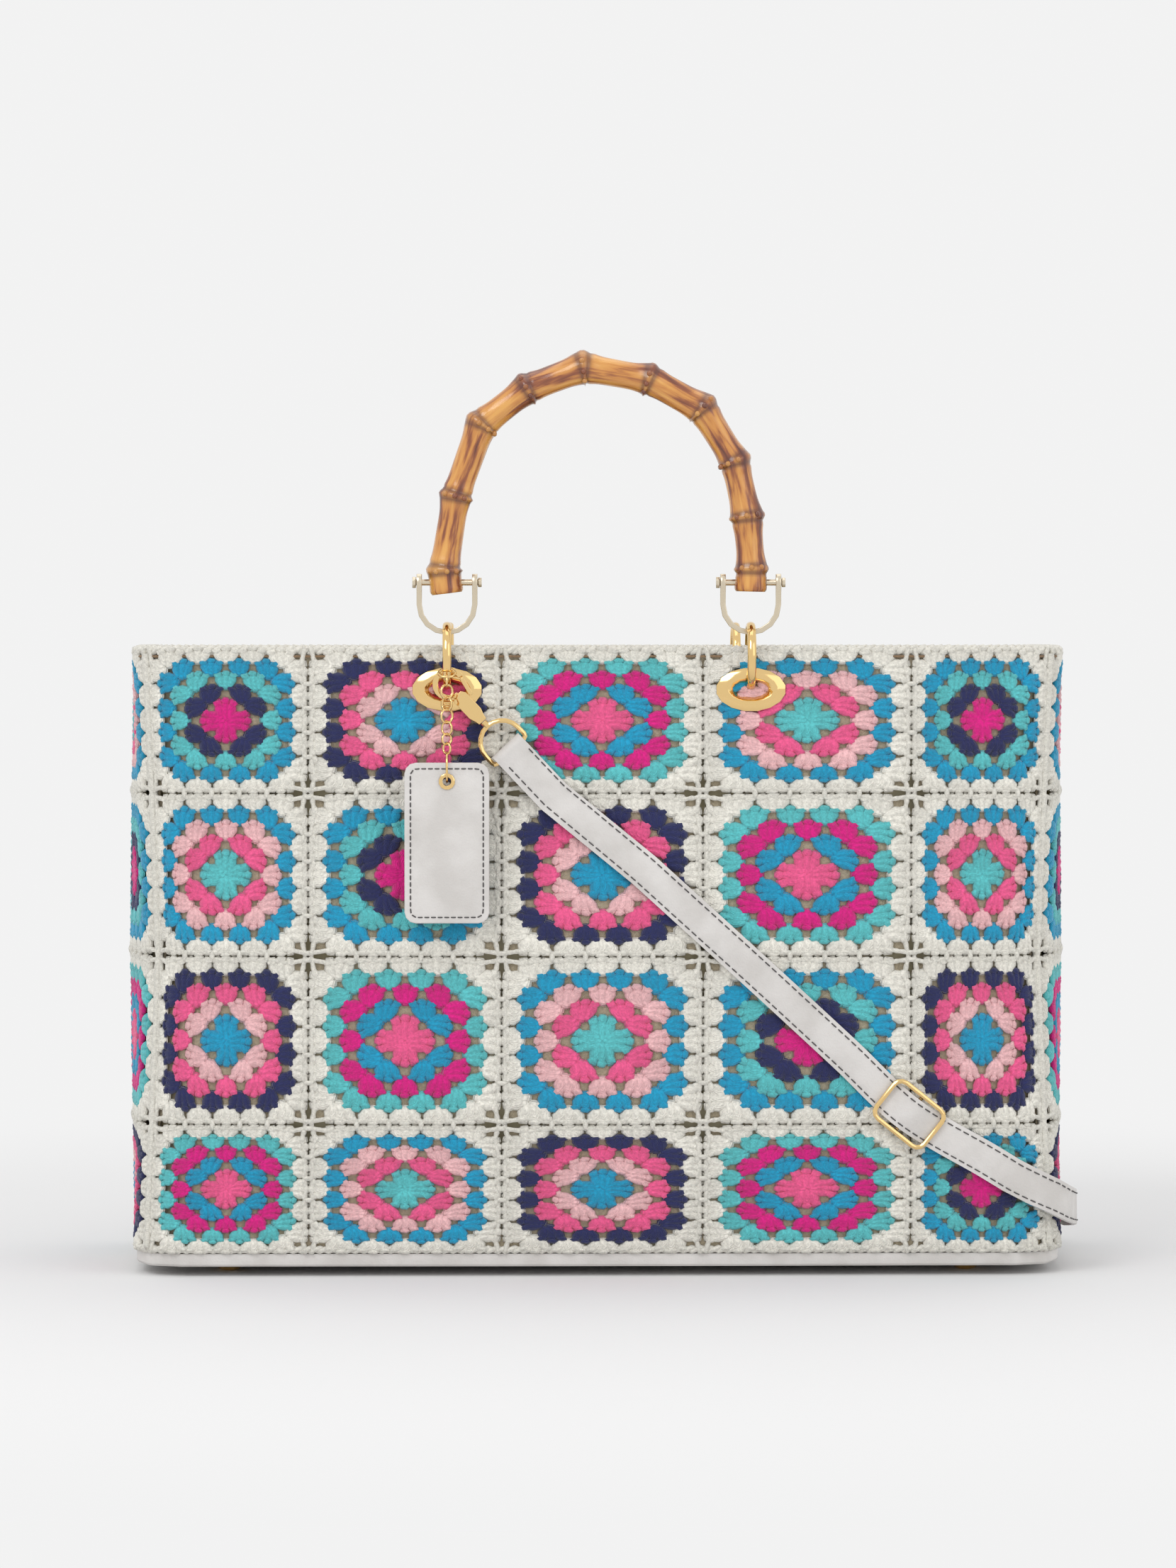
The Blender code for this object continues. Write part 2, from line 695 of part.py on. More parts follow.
def add_handle(name, rear, stand):
    """A bamboo arch: straight lengths between swollen, kinked nodes, and a hole for each pin."""
    half = EYELET_SPACING / 2
    foot = Vector((0, pin_place(1, rear).y, pin_place(1, rear).z))
    kinks = [Vector((half * x, 0, HANDLE_HEIGHT * z)) for x, z in HANDLE_KINKS]
    ends = (Vector((-half, 0, -HANDLE_END_DROP)), Vector((half, 0, -HANDLE_END_DROP)))
    stations = [(ends[0], HANDLE_NODE_RADIUS * 0.97)]
    for number, kink in enumerate(kinks):
        before = kinks[number - 1] if number else ends[0]
        after = kinks[number + 1] if number + 1 < len(kinks) else ends[1]
        if number:
            stations.append((kink.lerp(before, NODE_SHARE), HANDLE_RADIUS))
        stations.append((kink, HANDLE_NODE_RADIUS))
        if number + 1 < len(kinks):
            stations.append((kink.lerp(after, NODE_SHARE), HANDLE_RADIUS))
    stations.append((ends[1], HANDLE_NODE_RADIUS * 0.97))
    y_axis = Vector((0, 1, 0))
    sections = []
    for number, (point, radius) in enumerate(stations):
        before = stations[max(number - 1, 0)][0]
        after = stations[min(number + 1, len(stations) - 1)][0]
        along = (after - before).normalized()
        if number in (0, len(stations) - 1):
            along = Vector((0, 0, 1 if number == 0 else -1))
        across = y_axis.cross(along)
        sections.append(round_section(foot + point, across, y_axis, radius, HANDLE_SIDES))
    bm = loft(sections)
    if rear:
        turn_about(bm, foot, 180)
    origin = rear_place(foot, rear)
    handle = add_object(f"handle_{name}", to_rear(bm, rear), "bamboo", origin, stand)
    tools = []
    for side in (-1, 1):
        x = side * half
        hole = rod(foot + Vector((x - 11, 0, 0)), foot + Vector((x + 11, 0, 0)),
                   PIN_RADIUS + PIN_CLEARANCE, 8)
        tools.append(make_tool(to_rear(hole, rear), origin, stand))
    combine(handle, tools, "DIFFERENCE")


# Snap hook on the front left ring, and the same body as a plain clasp at the rear

HOOK_DIRECTION = Vector((math.cos(math.radians(HOOK_ANGLE)), 0, -math.sin(math.radians(HOOK_ANGLE))))
HOOK_ACROSS = Vector((-HOOK_DIRECTION.z, 0, HOOK_DIRECTION.x))
HOOK_OFF_RING = 8.2
HOOK_OUTER_RADIUS = HOOK_INNER_RADIUS + HOOK_WIRE
HOOK_TIP_ANGLE = 80.0
HOOK_CENTRE = Vector((
    -EYELET_SPACING / 2,
    RING_Y - HOOK_OFF_RING,
    RING_Z - math.sqrt((RING_OUTER_RADIUS - RING_THICKNESS / 2) ** 2 - HOOK_OFF_RING ** 2),
)) + HOOK_DIRECTION * 1.5
HOOK_END = HOOK_OUTER_RADIUS + HOOK_BODY_LENGTH


def hook_point(along, across):
    return HOOK_CENTRE + HOOK_DIRECTION * along + HOOK_ACROSS * across


def hook_bodies(tip_angle, root_angle=360.0):
    """The hook's curved loop and its tapered body, as two bmeshes that overlap."""
    y_axis = Vector((0, 1, 0))
    middle = HOOK_INNER_RADIUS + HOOK_WIRE / 2
    sections = []
    steps = 14
    for i in range(steps + 1):
        angle = math.radians(tip_angle + (root_angle - tip_angle) * i / steps)
        out = HOOK_DIRECTION * math.cos(angle) + HOOK_ACROSS * math.sin(angle)
        sections.append(flat_section(HOOK_CENTRE + out * middle, out, y_axis, HOOK_WIRE, HOOK_THICKNESS))
    loop = loft(sections)
    stations = ((HOOK_INNER_RADIUS + 0.8, 0.6), (HOOK_INNER_RADIUS + 2.8, 1.0), (HOOK_END - 5, 1.0),
                (HOOK_END - 2, 0.7), (HOOK_END, 0.6))
    body = loft([flat_section(hook_point(u, -0.6), HOOK_ACROSS, y_axis, HOOK_BODY_WIDTH * s, HOOK_THICKNESS * 1.5)
                 for u, s in stations])
    return loop, body


def swivel_bodies(centre_along, post_start):
    """The strap's D ring and its post, as two bmeshes that overlap."""
    y_axis = Vector((0, 1, 0))
    centre = hook_point(centre_along, -0.6)
    stations = []
    for i in range(11):
        angle = math.radians(90 + 18 * i)
        out = HOOK_DIRECTION * math.cos(angle) + HOOK_ACROSS * math.sin(angle)
        stations.append((centre + out * SWIVEL_RING_RADIUS, out))
    for side in (-1, 1):
        corner = (centre + HOOK_DIRECTION * (SWIVEL_RING_FLAT - SWIVEL_RING_CORNER)
                  + HOOK_ACROSS * (side * (SWIVEL_RING_RADIUS - SWIVEL_RING_CORNER)))
        turns = [side * 90 + step * 45 for step in ((0, 1, 2) if side < 0 else (-2, -1, 0))]
        for degrees in turns:
            angle = math.radians(degrees)
            out = HOOK_DIRECTION * math.cos(angle) + HOOK_ACROSS * math.sin(angle)
            stations.append((corner + out * SWIVEL_RING_CORNER, out))
    ring = loft([round_section(p, out, y_axis, SWIVEL_WIRE / 2, 6) for p, out in stations], closed=True)
    start = hook_point(post_start, -0.6)
    end = hook_point(centre_along - SWIVEL_RING_RADIUS + 0.2, -0.6)
    sections = [round_section(p, HOOK_ACROSS, y_axis, SWIVEL_POST_RADIUS, 8) for p in (start, end)]
    return ring, loft(sections)


SWIVEL_CENTRE_ALONG = HOOK_END + SEAT_GAP + SWIVEL_POST_LENGTH + SWIVEL_RING_RADIUS
GATE_PIVOT_ALONG = HOOK_OUTER_RADIUS + 1.6
GATE_PIVOT_ACROSS = 4.2


def add_front_hook(stand):
    loop, body = hook_bodies(HOOK_TIP_ANGLE)
    hook = add_object("snap_hook", loop, "gold", stand=stand)
    combine(hook, [make_tool(body, (0, 0, 0), stand)], "UNION")
    ring, post = swivel_bodies(SWIVEL_CENTRE_ALONG, HOOK_END + SEAT_GAP)
    swivel = add_object("swivel_ring", ring, "gold", stand=stand)
    combine(swivel, [make_tool(post, (0, 0, 0), stand)], "UNION")
    y_axis = Vector((0, 1, 0))
    pivot = hook_point(GATE_PIVOT_ALONG, GATE_PIVOT_ACROSS)
    tip_angle = math.radians(HOOK_TIP_ANGLE)
    middle = HOOK_INNER_RADIUS + HOOK_WIRE / 2
    tip = hook_point(middle * math.cos(tip_angle) + HOOK_GATE_GAP + 0.2, middle * math.sin(tip_angle) - 0.3)
    along = (pivot - tip).normalized()
    across = along.cross(y_axis)
    sections = [flat_section(tip, across, y_axis, HOOK_GATE_WIDTH, HOOK_THICKNESS),
                flat_section(pivot, across, y_axis, HOOK_GATE_WIDTH, HOOK_THICKNESS),
                flat_section(pivot + along * 1.2, across, y_axis, HOOK_GATE_WIDTH * 0.6, HOOK_THICKNESS)]
    add_object("hook_gate", loft(sections), "gold", pivot, stand)


def add_rear_clasp(stand):
    """The strap's far end hangs on the rear left ring by one plain clasp, hidden behind the bag."""
    loop, body = hook_bodies(10.0, 350.0)
    ring, post = swivel_bodies(SWIVEL_CENTRE_ALONG, HOOK_END - 1.0)
    clasp = add_object("rear_clasp", to_rear(loop, True), "gold", stand=stand)
    tools = [make_tool(to_rear(bm, True), (0, 0, 0), stand) for bm in (body, post, ring)]
    combine(clasp, tools, "UNION")


# Shoulder strap: flat leather that follows the wall, with a folded end round each ring


def fold_stations(rear):
    """The folded end: under layer, turn round the ring's wire, and on towards the wall's route."""
    wire_at = hook_point(SWIVEL_CENTRE_ALONG + SWIVEL_RING_FLAT, -0.6)
    outward = Vector((0, -1, 0))
    radius = SWIVEL_WIRE / 2 + SEAT_GAP + STRAP_THICKNESS / 2
    close = STRAP_THICKNESS / 2 + SEAT_GAP / 2
    stations = [
        (wire_at + HOOK_DIRECTION * STRAP_FOLD_LENGTH - outward * close, -outward),
        (wire_at + HOOK_DIRECTION * 6.0 - outward * close, -outward),
    ]
    for degrees in (-90, -120, -150, 180, 150, 120, 90):
        angle = math.radians(degrees)
        out = HOOK_DIRECTION * math.cos(angle) + outward * math.sin(angle)
        stations.append((wire_at + out * radius, out))
    stations.append((wire_at + HOOK_DIRECTION * 6.0 + outward * close, outward))
    stations.append((wire_at + HOOK_DIRECTION * STRAP_FOLD_LENGTH + outward * close, outward))
    if rear:
        stations = [(rear_place(p, True), rear_place(n, True)) for p, n in stations]
    return stations


def slider_lift(along):
    """The strap rises over the slider's middle bar and dips under its ends."""
    share = (along - SLIDER_X) / (SLIDER_LENGTH * 0.27)
    return max(0.0, 1 - share ** 2) * SLIDER_RISE


SLIDER_LIFT = 5.6
SLIDER_BAR_LIFT = 3.4
SLIDER_RISE = SLIDER_BAR_LIFT + SLIDER_BAR_RADIUS + SEAT_GAP + STRAP_THICKNESS / 2 - 3.0
ROUTE_STEPS = 3
SLIDER_STEPS = 10
SLIDER_ROW = 3


def strap_stations():
    front = fold_stations(False)
    rear = fold_stations(True)
    middle = []
    route_slider = Vector(STRAP_ROUTE[SLIDER_ROW]).x
    for along, height, lift in smooth_route(STRAP_ROUTE, route_slider, SLIDER_STEPS, ROUTE_STEPS):
        middle.append(wall(along, height, lift + slider_lift(along)))
    return front + middle + rear[::-1]


def add_strap(stand):
    stations = strap_stations()
    sections = []
    for number, (point, normal) in enumerate(stations):
        before = stations[max(number - 1, 0)][0]
        after = stations[min(number + 1, len(stations) - 1)][0]
        along = (after - before).normalized()
        across = along.cross(normal).normalized()
        up = across.cross(along).normalized()
        sections.append(flat_section(point, across, up, STRAP_WIDTH, STRAP_THICKNESS))
    add_object("shoulder_strap", loft(sections), "white_leather", stand=stand)


def add_slider(stand):
    place, outward = wall(SLIDER_X, SLIDER_Z, SLIDER_LIFT)
    before = wall(SLIDER_X - 20, SLIDER_Z + 17.5)[0]
    after = wall(SLIDER_X + 20, SLIDER_Z - 14.5)[0]
    along = (after - before).normalized()
    across = along.cross(outward).normalized()
    half_length = (SLIDER_LENGTH - SLIDER_WIRE) / 2
    half_width = (SLIDER_WIDTH - SLIDER_WIRE) / 2
    corner = 4.0
    sections = []
    for turn, (su, sv) in enumerate(((1, 1), (-1, 1), (-1, -1), (1, -1))):
        for step in range(4):
            angle = math.radians(90 * turn + 30 * step)
            out = along * math.cos(angle) + across * math.sin(angle)
            centre = place + along * (su * (half_length - corner)) + across * (sv * (half_width - corner))
            sections.append(round_section(centre + out * corner, out, outward, SLIDER_WIRE / 2, 6))
    slider = add_object("slider_buckle", loft(sections, closed=True), "gold", stand=stand)
    drop = outward * (SLIDER_LIFT - SLIDER_BAR_LIFT)
    ends = (place - across * half_width, place - across * (half_width - 1.4) - drop,
            place + across * (half_width - 1.4) - drop, place + across * half_width)
    bar = loft([round_section(p, along, outward, SLIDER_BAR_RADIUS, 8) for p in ends])
    combine(slider, [make_tool(bar, (0, 0, 0), stand)], "UNION")


# Tag on its chain. The first link is threaded on the front left ring.

FIRST_LINK_RADIUS = 3.8
LINK_SAG = 0.3


def first_link():
    """Centre, lowest point of the wire and outward direction of the link on the ring."""
    angle = math.radians(FIRST_LINK_ANGLE)
    out = Vector((0, -math.sin(angle), math.cos(angle)))
    start = RING_INNER_RADIUS - 2 * SEAT_GAP - LINK_WIRE / 2
    centre = ring_centre(-1) + out * (start + FIRST_LINK_RADIUS)
    return centre, centre + out * FIRST_LINK_RADIUS, out


def add_tag(stand):
    centre, lowest, out = first_link()
    x_axis = Vector((1, 0, 0))
    z_axis = Vector((0, 0, 1))
    chain = add_object("tag_chain", torus(centre, x_axis, out, FIRST_LINK_RADIUS, LINK_WIRE, LINK_SIDES, 5),
                       "gold", stand=stand)
    grommet_z = TAG_TOP - GROMMET_DROP
    bite = 1.5 * LINK_WIRE / 2
    shares = sum(width * tall for _, width, tall in CHAIN_LINKS)
    drop = lowest.z - grommet_z + LINK_SAG
    main_radius = (drop + bite * len(CHAIN_LINKS)) / (2 * shares)
    top = lowest.z
    tools = []
    for turn, width, tall in CHAIN_LINKS:
        radius = main_radius * width
        angle = math.radians(turn)
        across = Vector((math.cos(angle), math.sin(angle), 0))
        link_centre = Vector((lowest.x, lowest.y, top + bite - radius * tall))
        link = torus(link_centre, across, z_axis, radius, LINK_WIRE, LINK_SIDES, 5, tall)
        tools.append(make_tool(link, (0, 0, 0), stand))
        top = link_centre.z - radius * tall
    combine(chain, tools, "UNION")

    tag_y = lowest.y
    outline = []
    for turn, (sx, sz) in enumerate(((1, 1), (-1, 1), (-1, -1), (1, -1))):
        for step in range(4):
            angle = math.radians(90 * turn + 30 * step)
            outline.append((sx * (TAG_WIDTH / 2 - TAG_CORNER) + TAG_CORNER * math.cos(angle),
                            sz * (TAG_TALL / 2 - TAG_CORNER) + TAG_CORNER * math.sin(angle)))
    middle = Vector((lowest.x, tag_y, TAG_TOP - TAG_TALL / 2))
    sections = []
    for offset in (-TAG_THICKNESS / 2, TAG_THICKNESS / 2):
        sections.append([middle + Vector((x, offset, z)) for x, z in outline])
    tag = add_object("tag", loft(sections), "white_leather", stand=stand)
    hole_centre = Vector((lowest.x, tag_y, grommet_z))
    flange = 0.5
    barrel = GROMMET_HOLE_RADIUS + 0.7
    y_axis = Vector((0, 1, 0))
    hole = rod(hole_centre - y_axis * 9, hole_centre + y_axis * 9, barrel + SEAT_GAP, 12)
    combine(tag, [make_tool(hole, (0, 0, 0), stand)], "DIFFERENCE")
    near = TAG_THICKNESS / 2 + SEAT_GAP
    profile = ((GROMMET_HOLE_RADIUS, -near - flange), (GROMMET_RADIUS, -near - flange / 2),
               (GROMMET_RADIUS, -near), (barrel, -near), (barrel, near), (GROMMET_RADIUS, near),
               (GROMMET_RADIUS, near + flange / 2), (GROMMET_HOLE_RADIUS, near + flange))
    sections = [round_section(hole_centre + y_axis * out_y, x_axis, z_axis, r, 12) for r, out_y in profile]
    add_object("tag_grommet", loft(sections, closed=True), "gold", stand=stand)


def build():
    for obj in list(bpy.data.objects):
        bpy.data.objects.remove(obj)
    stand = bpy.data.objects.new("stand", None)
    stand.location = (STAND_X * MM, STAND_Y * MM, 0.0)
    bpy.context.collection.objects.link(stand)
    bpy.context.view_layer.update()
    cover = add_cover(stand)
    lining = add_lining(stand)
    cut_eyelet_holes((cover, lining), stand)
    add_base(stand)
    add_feet(stand)
    for name, side, rear in RIM_PLACES:
        add_eyelet(name, side, rear, stand)
        add_ring(name, side, rear, stand)
        add_shackle(name, side, rear, stand)
        add_pin(name, side, rear, stand)
    add_handle("front", False, stand)
    add_handle("rear", True, stand)
    add_front_hook(stand)
    add_rear_clasp(stand)
    add_strap(stand)
    add_slider(stand)
    add_tag(stand)


build()
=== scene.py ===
# %% [markdown]
# # Crochet bag: the looks
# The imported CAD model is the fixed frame, in metres. This script gives it its crochet, cloth, leather,
# gold and bamboo, the light and the camera. Sizes below are millimetres and become metres in the meshes.

# %% Load the frame
import json
import math
import bpy
import numpy as np
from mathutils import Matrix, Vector

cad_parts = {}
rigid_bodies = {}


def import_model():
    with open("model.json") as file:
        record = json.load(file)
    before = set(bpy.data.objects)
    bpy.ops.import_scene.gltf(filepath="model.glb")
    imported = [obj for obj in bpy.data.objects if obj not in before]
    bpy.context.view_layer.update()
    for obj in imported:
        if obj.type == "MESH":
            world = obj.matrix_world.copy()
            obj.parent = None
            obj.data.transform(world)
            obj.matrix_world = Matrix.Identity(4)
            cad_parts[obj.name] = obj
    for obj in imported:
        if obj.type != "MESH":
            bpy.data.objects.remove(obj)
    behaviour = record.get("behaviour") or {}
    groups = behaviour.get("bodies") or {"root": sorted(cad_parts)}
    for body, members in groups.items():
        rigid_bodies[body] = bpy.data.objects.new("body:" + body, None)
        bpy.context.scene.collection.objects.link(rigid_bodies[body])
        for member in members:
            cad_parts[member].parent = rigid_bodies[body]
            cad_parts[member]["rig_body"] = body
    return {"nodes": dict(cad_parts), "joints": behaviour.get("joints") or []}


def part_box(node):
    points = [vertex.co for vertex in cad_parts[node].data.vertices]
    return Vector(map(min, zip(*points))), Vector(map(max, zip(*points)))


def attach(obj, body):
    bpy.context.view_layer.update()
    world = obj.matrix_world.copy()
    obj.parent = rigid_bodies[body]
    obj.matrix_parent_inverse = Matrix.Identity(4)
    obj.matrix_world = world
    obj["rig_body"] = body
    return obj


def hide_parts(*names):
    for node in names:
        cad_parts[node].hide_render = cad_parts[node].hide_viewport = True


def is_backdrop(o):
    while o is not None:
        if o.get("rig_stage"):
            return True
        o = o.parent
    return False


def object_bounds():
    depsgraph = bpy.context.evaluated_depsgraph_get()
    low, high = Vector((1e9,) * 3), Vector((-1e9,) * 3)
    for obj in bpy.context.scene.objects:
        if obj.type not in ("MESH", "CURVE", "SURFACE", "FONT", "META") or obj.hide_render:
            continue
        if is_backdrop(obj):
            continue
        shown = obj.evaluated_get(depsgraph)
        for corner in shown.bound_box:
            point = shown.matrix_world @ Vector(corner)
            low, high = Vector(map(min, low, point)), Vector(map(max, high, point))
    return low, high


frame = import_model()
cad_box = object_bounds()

MM = 0.001
nodes = frame["nodes"]
print("CAD nodes:", len(nodes))

# %% [markdown]
# ## Materials
# The real yarn is matte two-ply cotton, so its finish is a high roughness with a fine slanted twist in
# the bump, and each stitch carries its own colour as an attribute. Metal, leather, cloth and bamboo each
# have one procedural material built by a short function from plain values.

# %% Colours, as sRGB shares
WHITE_YARN = (0.945, 0.932, 0.890)
BLUE_YARN = (0.060, 0.630, 0.800)
AQUA_YARN = (0.370, 0.790, 0.805)
NAVY_YARN = (0.125, 0.150, 0.360)
MAGENTA_YARN = (0.890, 0.050, 0.530)
PINK_YARN = (0.975, 0.370, 0.590)
LIGHT_PINK_YARN = (0.972, 0.765, 0.775)
# painted shade: the tone of the shaded gaps between the clusters, laid on the ground sheet
PAINTED_SHADE_GROUND = (0.800, 0.745, 0.640)
RIM_LINE = (0.600, 0.480, 0.350)
LINING_CREAM = (0.850, 0.820, 0.700)
LEATHER_WHITE = (0.820, 0.805, 0.790)
STITCH_GREY = (0.330, 0.320, 0.320)
GOLD = (0.925, 0.790, 0.550)
CHAMPAGNE = (0.850, 0.800, 0.710)
BAMBOO_LIGHT = (0.830, 0.590, 0.280)
BAMBOO_BURNT = (0.330, 0.160, 0.130)
FLOOR_GREY = (0.900, 0.900, 0.900)


def linear(colour):
    """An sRGB colour as linear light with alpha."""
    light = [c / 12.92 if c <= 0.04045 else ((c + 0.055) / 1.055) ** 2.4 for c in colour]
    return (*light, 1.0)


def new_material(name, colour, roughness, metallic=0.0):
    material = bpy.data.materials.new(name)
    material.use_nodes = True
    shader = material.node_tree.nodes["Principled BSDF"]
    shader.inputs["Base Color"].default_value = linear(colour)
    shader.inputs["Roughness"].default_value = roughness
    shader.inputs["Metallic"].default_value = metallic
    return material, shader


def add_node(material, kind, **values):
    """A shader node with its inputs set by name."""
    node = material.node_tree.nodes.new(kind)
    for name, value in values.items():
        node.inputs[name.replace("_", " ")].default_value = value
    return node


def join(material, source, target):
    material.node_tree.links.new(source, target)


def add_bump(material, shader, height, strength, distance):
    bump = add_node(material, "ShaderNodeBump", Strength=strength, Distance=distance)
    join(material, height, bump.inputs["Height"])
    join(material, bump.outputs["Normal"], shader.inputs["Normal"])


def mapped_coordinates(material, kind, scale):
    """Object or UV coordinates, scaled."""
    place = add_node(material, "ShaderNodeTexCoord")
    mapping = add_node(material, "ShaderNodeMapping", Scale=scale)
    join(material, place.outputs[kind], mapping.inputs["Vector"])
    return mapping.outputs["Vector"]


def ramp(material, factor, stops):
    """A colour ramp through (position, sRGB colour) stops."""
    node = add_node(material, "ShaderNodeValToRGB")
    elements = node.color_ramp.elements
    for index, (position, colour) in enumerate(stops):
        element = elements[index] if index < 2 else elements.new(position)
        element.position = position
        element.color = linear(colour)
    join(material, factor, node.inputs["Fac"])
    return node.outputs["Color"]


# %% Yarn: the stitch's colour, a slanted ply twist and a little loose fibre
def make_yarn():
    material, shader = new_material("yarn", WHITE_YARN, 0.86)
    colour = add_node(material, "ShaderNodeAttribute")
    colour.attribute_name = "Yarn"
    fibre = add_node(material, "ShaderNodeTexNoise", Scale=900.0, Detail=3.0)
    join(material, mapped_coordinates(material, "Object", (1.0, 1.0, 1.0)), fibre.inputs["Vector"])
    shade = add_node(material, "ShaderNodeMix")
    shade.data_type = "RGBA"
    shade.blend_type = "MULTIPLY"
    shade.inputs["Factor"].default_value = 1.0
    tone = ramp(material, fibre.outputs["Fac"], ((0.30, (0.88, 0.88, 0.88)), (0.65, (1.0, 1.0, 1.0))))
    join(material, colour.outputs["Color"], shade.inputs["A"])
    join(material, tone, shade.inputs["B"])
    join(material, shade.outputs["Result"], shader.inputs["Base Color"])
    shader.inputs["Sheen Weight"].default_value = 0.25
    shader.inputs["Sheen Roughness"].default_value = 0.5
    twist = add_node(material, "ShaderNodeTexWave", Scale=1.0, Distortion=1.2)
    twist.bands_direction = "DIAGONAL"
    join(material, mapped_coordinates(material, "UV", (2.5, 5.0, 1.0)), twist.inputs["Vector"])
    height = add_node(material, "ShaderNodeMath")
    height.operation = "MULTIPLY_ADD"
    height.inputs[1].default_value = 0.6
    join(material, fibre.outputs["Fac"], height.inputs[0])
    join(material, twist.outputs["Fac"], height.inputs[2])
    add_bump(material, shader, height.outputs["Value"], 0.55, 0.0006)
    return material


# %% Metal, leather and cloth
def make_metal(name, colour, roughness):
    """Plating: polished, with a faint unevenness in its gloss."""
    material, shader = new_material(name, colour, roughness, 1.0)
    smear = add_node(material, "ShaderNodeTexNoise", Scale=120.0, Detail=2.0)
    join(material, mapped_coordinates(material, "Object", (1.0, 1.0, 1.0)), smear.inputs["Vector"])
    gloss = add_node(material, "ShaderNodeMapRange")
    gloss.inputs["To Min"].default_value = roughness * 0.7
    gloss.inputs["To Max"].default_value = roughness * 1.5
    join(material, smear.outputs["Fac"], gloss.inputs["Value"])
    join(material, gloss.outputs["Result"], shader.inputs["Roughness"])
    return material


def make_leather():
    """White leather: a fine pebble grain, satin gloss and a faint change of tone."""
    material, shader = new_material("white_leather", LEATHER_WHITE, 0.48)
    place = mapped_coordinates(material, "Object", (1.0, 1.0, 1.0))
    grain = add_node(material, "ShaderNodeTexVoronoi", Scale=1100.0)
    join(material, place, grain.inputs["Vector"])
    tone = add_node(material, "ShaderNodeTexNoise", Scale=60.0, Detail=3.0)
    join(material, place, tone.inputs["Vector"])
    stops = ((0.35, (0.79, 0.775, 0.76)), (0.65, (0.845, 0.832, 0.82)))
    join(material, ramp(material, tone.outputs["Fac"], stops), shader.inputs["Base Color"])
    add_bump(material, shader, grain.outputs["Distance"], 0.30, 0.0003)
    return material


def make_cloth():
    """Lining cotton: a plain weave of fine threads both ways, with painted crease shade in its colour."""
    material, shader = new_material("lining_cloth", LINING_CREAM, 0.9)
    place = mapped_coordinates(material, "Object", (1.0, 1.0, 1.0))
    weave = add_node(material, "ShaderNodeTexChecker", Scale=1600.0)
    join(material, place, weave.inputs["Vector"])
    # painted shade: a broad noise darkens the cloth in patches, standing in for the shade in its creases
    painted_crease_shade = add_node(material, "ShaderNodeTexNoise", Scale=25.0, Detail=4.0)
    join(material, place, painted_crease_shade.inputs["Vector"])
    stops = ((0.35, (0.80, 0.76, 0.63)), (0.7, (0.87, 0.84, 0.73)))
    join(material, ramp(material, painted_crease_shade.outputs["Fac"], stops), shader.inputs["Base Color"])
    add_bump(material, shader, weave.outputs["Fac"], 0.15, 0.0002)
    return material


# %% Bamboo: streaks along the cane, burnt patches and varnish
def make_bamboo():
    material, shader = new_material("bamboo", BAMBOO_LIGHT, 0.24)
    cane = add_node(material, "ShaderNodeAttribute")
    cane.attribute_name = "Cane"
    streaks = add_node(material, "ShaderNodeTexNoise", Scale=1.0, Detail=5.0, Distortion=0.35)
    patches = add_node(material, "ShaderNodeTexNoise", Scale=1.0, Detail=2.0)
    for texture, scale in ((streaks, (2.6, 2.6, 0.045)), (patches, (1.0, 1.0, 0.040))):
        mapping = add_node(material, "ShaderNodeMapping", Scale=scale)
        join(material, cane.outputs["Vector"], mapping.inputs["Vector"])
        join(material, mapping.outputs["Vector"], texture.inputs["Vector"])
    sum_node = add_node(material, "ShaderNodeMath")
    sum_node.operation = "MULTIPLY_ADD"
    sum_node.inputs[1].default_value = 0.55
    scaled = add_node(material, "ShaderNodeMath")
    scaled.operation = "MULTIPLY"
    scaled.inputs[1].default_value = 0.45
    join(material, patches.outputs["Fac"], scaled.inputs[0])
    join(material, streaks.outputs["Fac"], sum_node.inputs[0])
    join(material, scaled.outputs["Value"], sum_node.inputs[2])
    tone = ramp(material, sum_node.outputs["Value"], (
        (0.34, BAMBOO_BURNT),
        (0.44, (0.56, 0.31, 0.18)),
        (0.50, (0.78, 0.52, 0.25)),
        (0.62, (0.87, 0.64, 0.33)),
    ))
    burn = add_node(material, "ShaderNodeAttribute")
    burn.attribute_name = "Burn"
    shade = add_node(material, "ShaderNodeMix")
    shade.data_type = "RGBA"
    shade.inputs["B"].default_value = linear(BAMBOO_BURNT)
    join(material, burn.outputs["Fac"], shade.inputs["Factor"])
    join(material, tone, shade.inputs["A"])
    join(material, shade.outputs["Result"], shader.inputs["Base Color"])
    shader.inputs["Coat Weight"].default_value = 0.5
    shader.inputs["Coat Roughness"].default_value = 0.12
    add_bump(material, shader, streaks.outputs["Fac"], 0.3, 0.0012)
    return material


YARN = make_yarn()
CLOTH = make_cloth()
LEATHER = make_leather()
THREAD = new_material("stitch_thread", STITCH_GREY, 0.8)[0]
GOLD_PLATE = make_metal("gold", GOLD, 0.10)
CHAMPAGNE_PLATE = make_metal("champagne", CHAMPAGNE, 0.24)
BAMBOO = make_bamboo()
print("materials:", len(bpy.data.materials))

# %% [markdown]
# ## The wall that everything is sewn to
# A real tote like this is flat squares joined edge to edge and pulled over a lining, so it swells in
# the middle and pinches at the corners. The same few sizes as in the CAD source give its surface: a
# distance round the bag and a height give a point, and a lift moves it outwards.

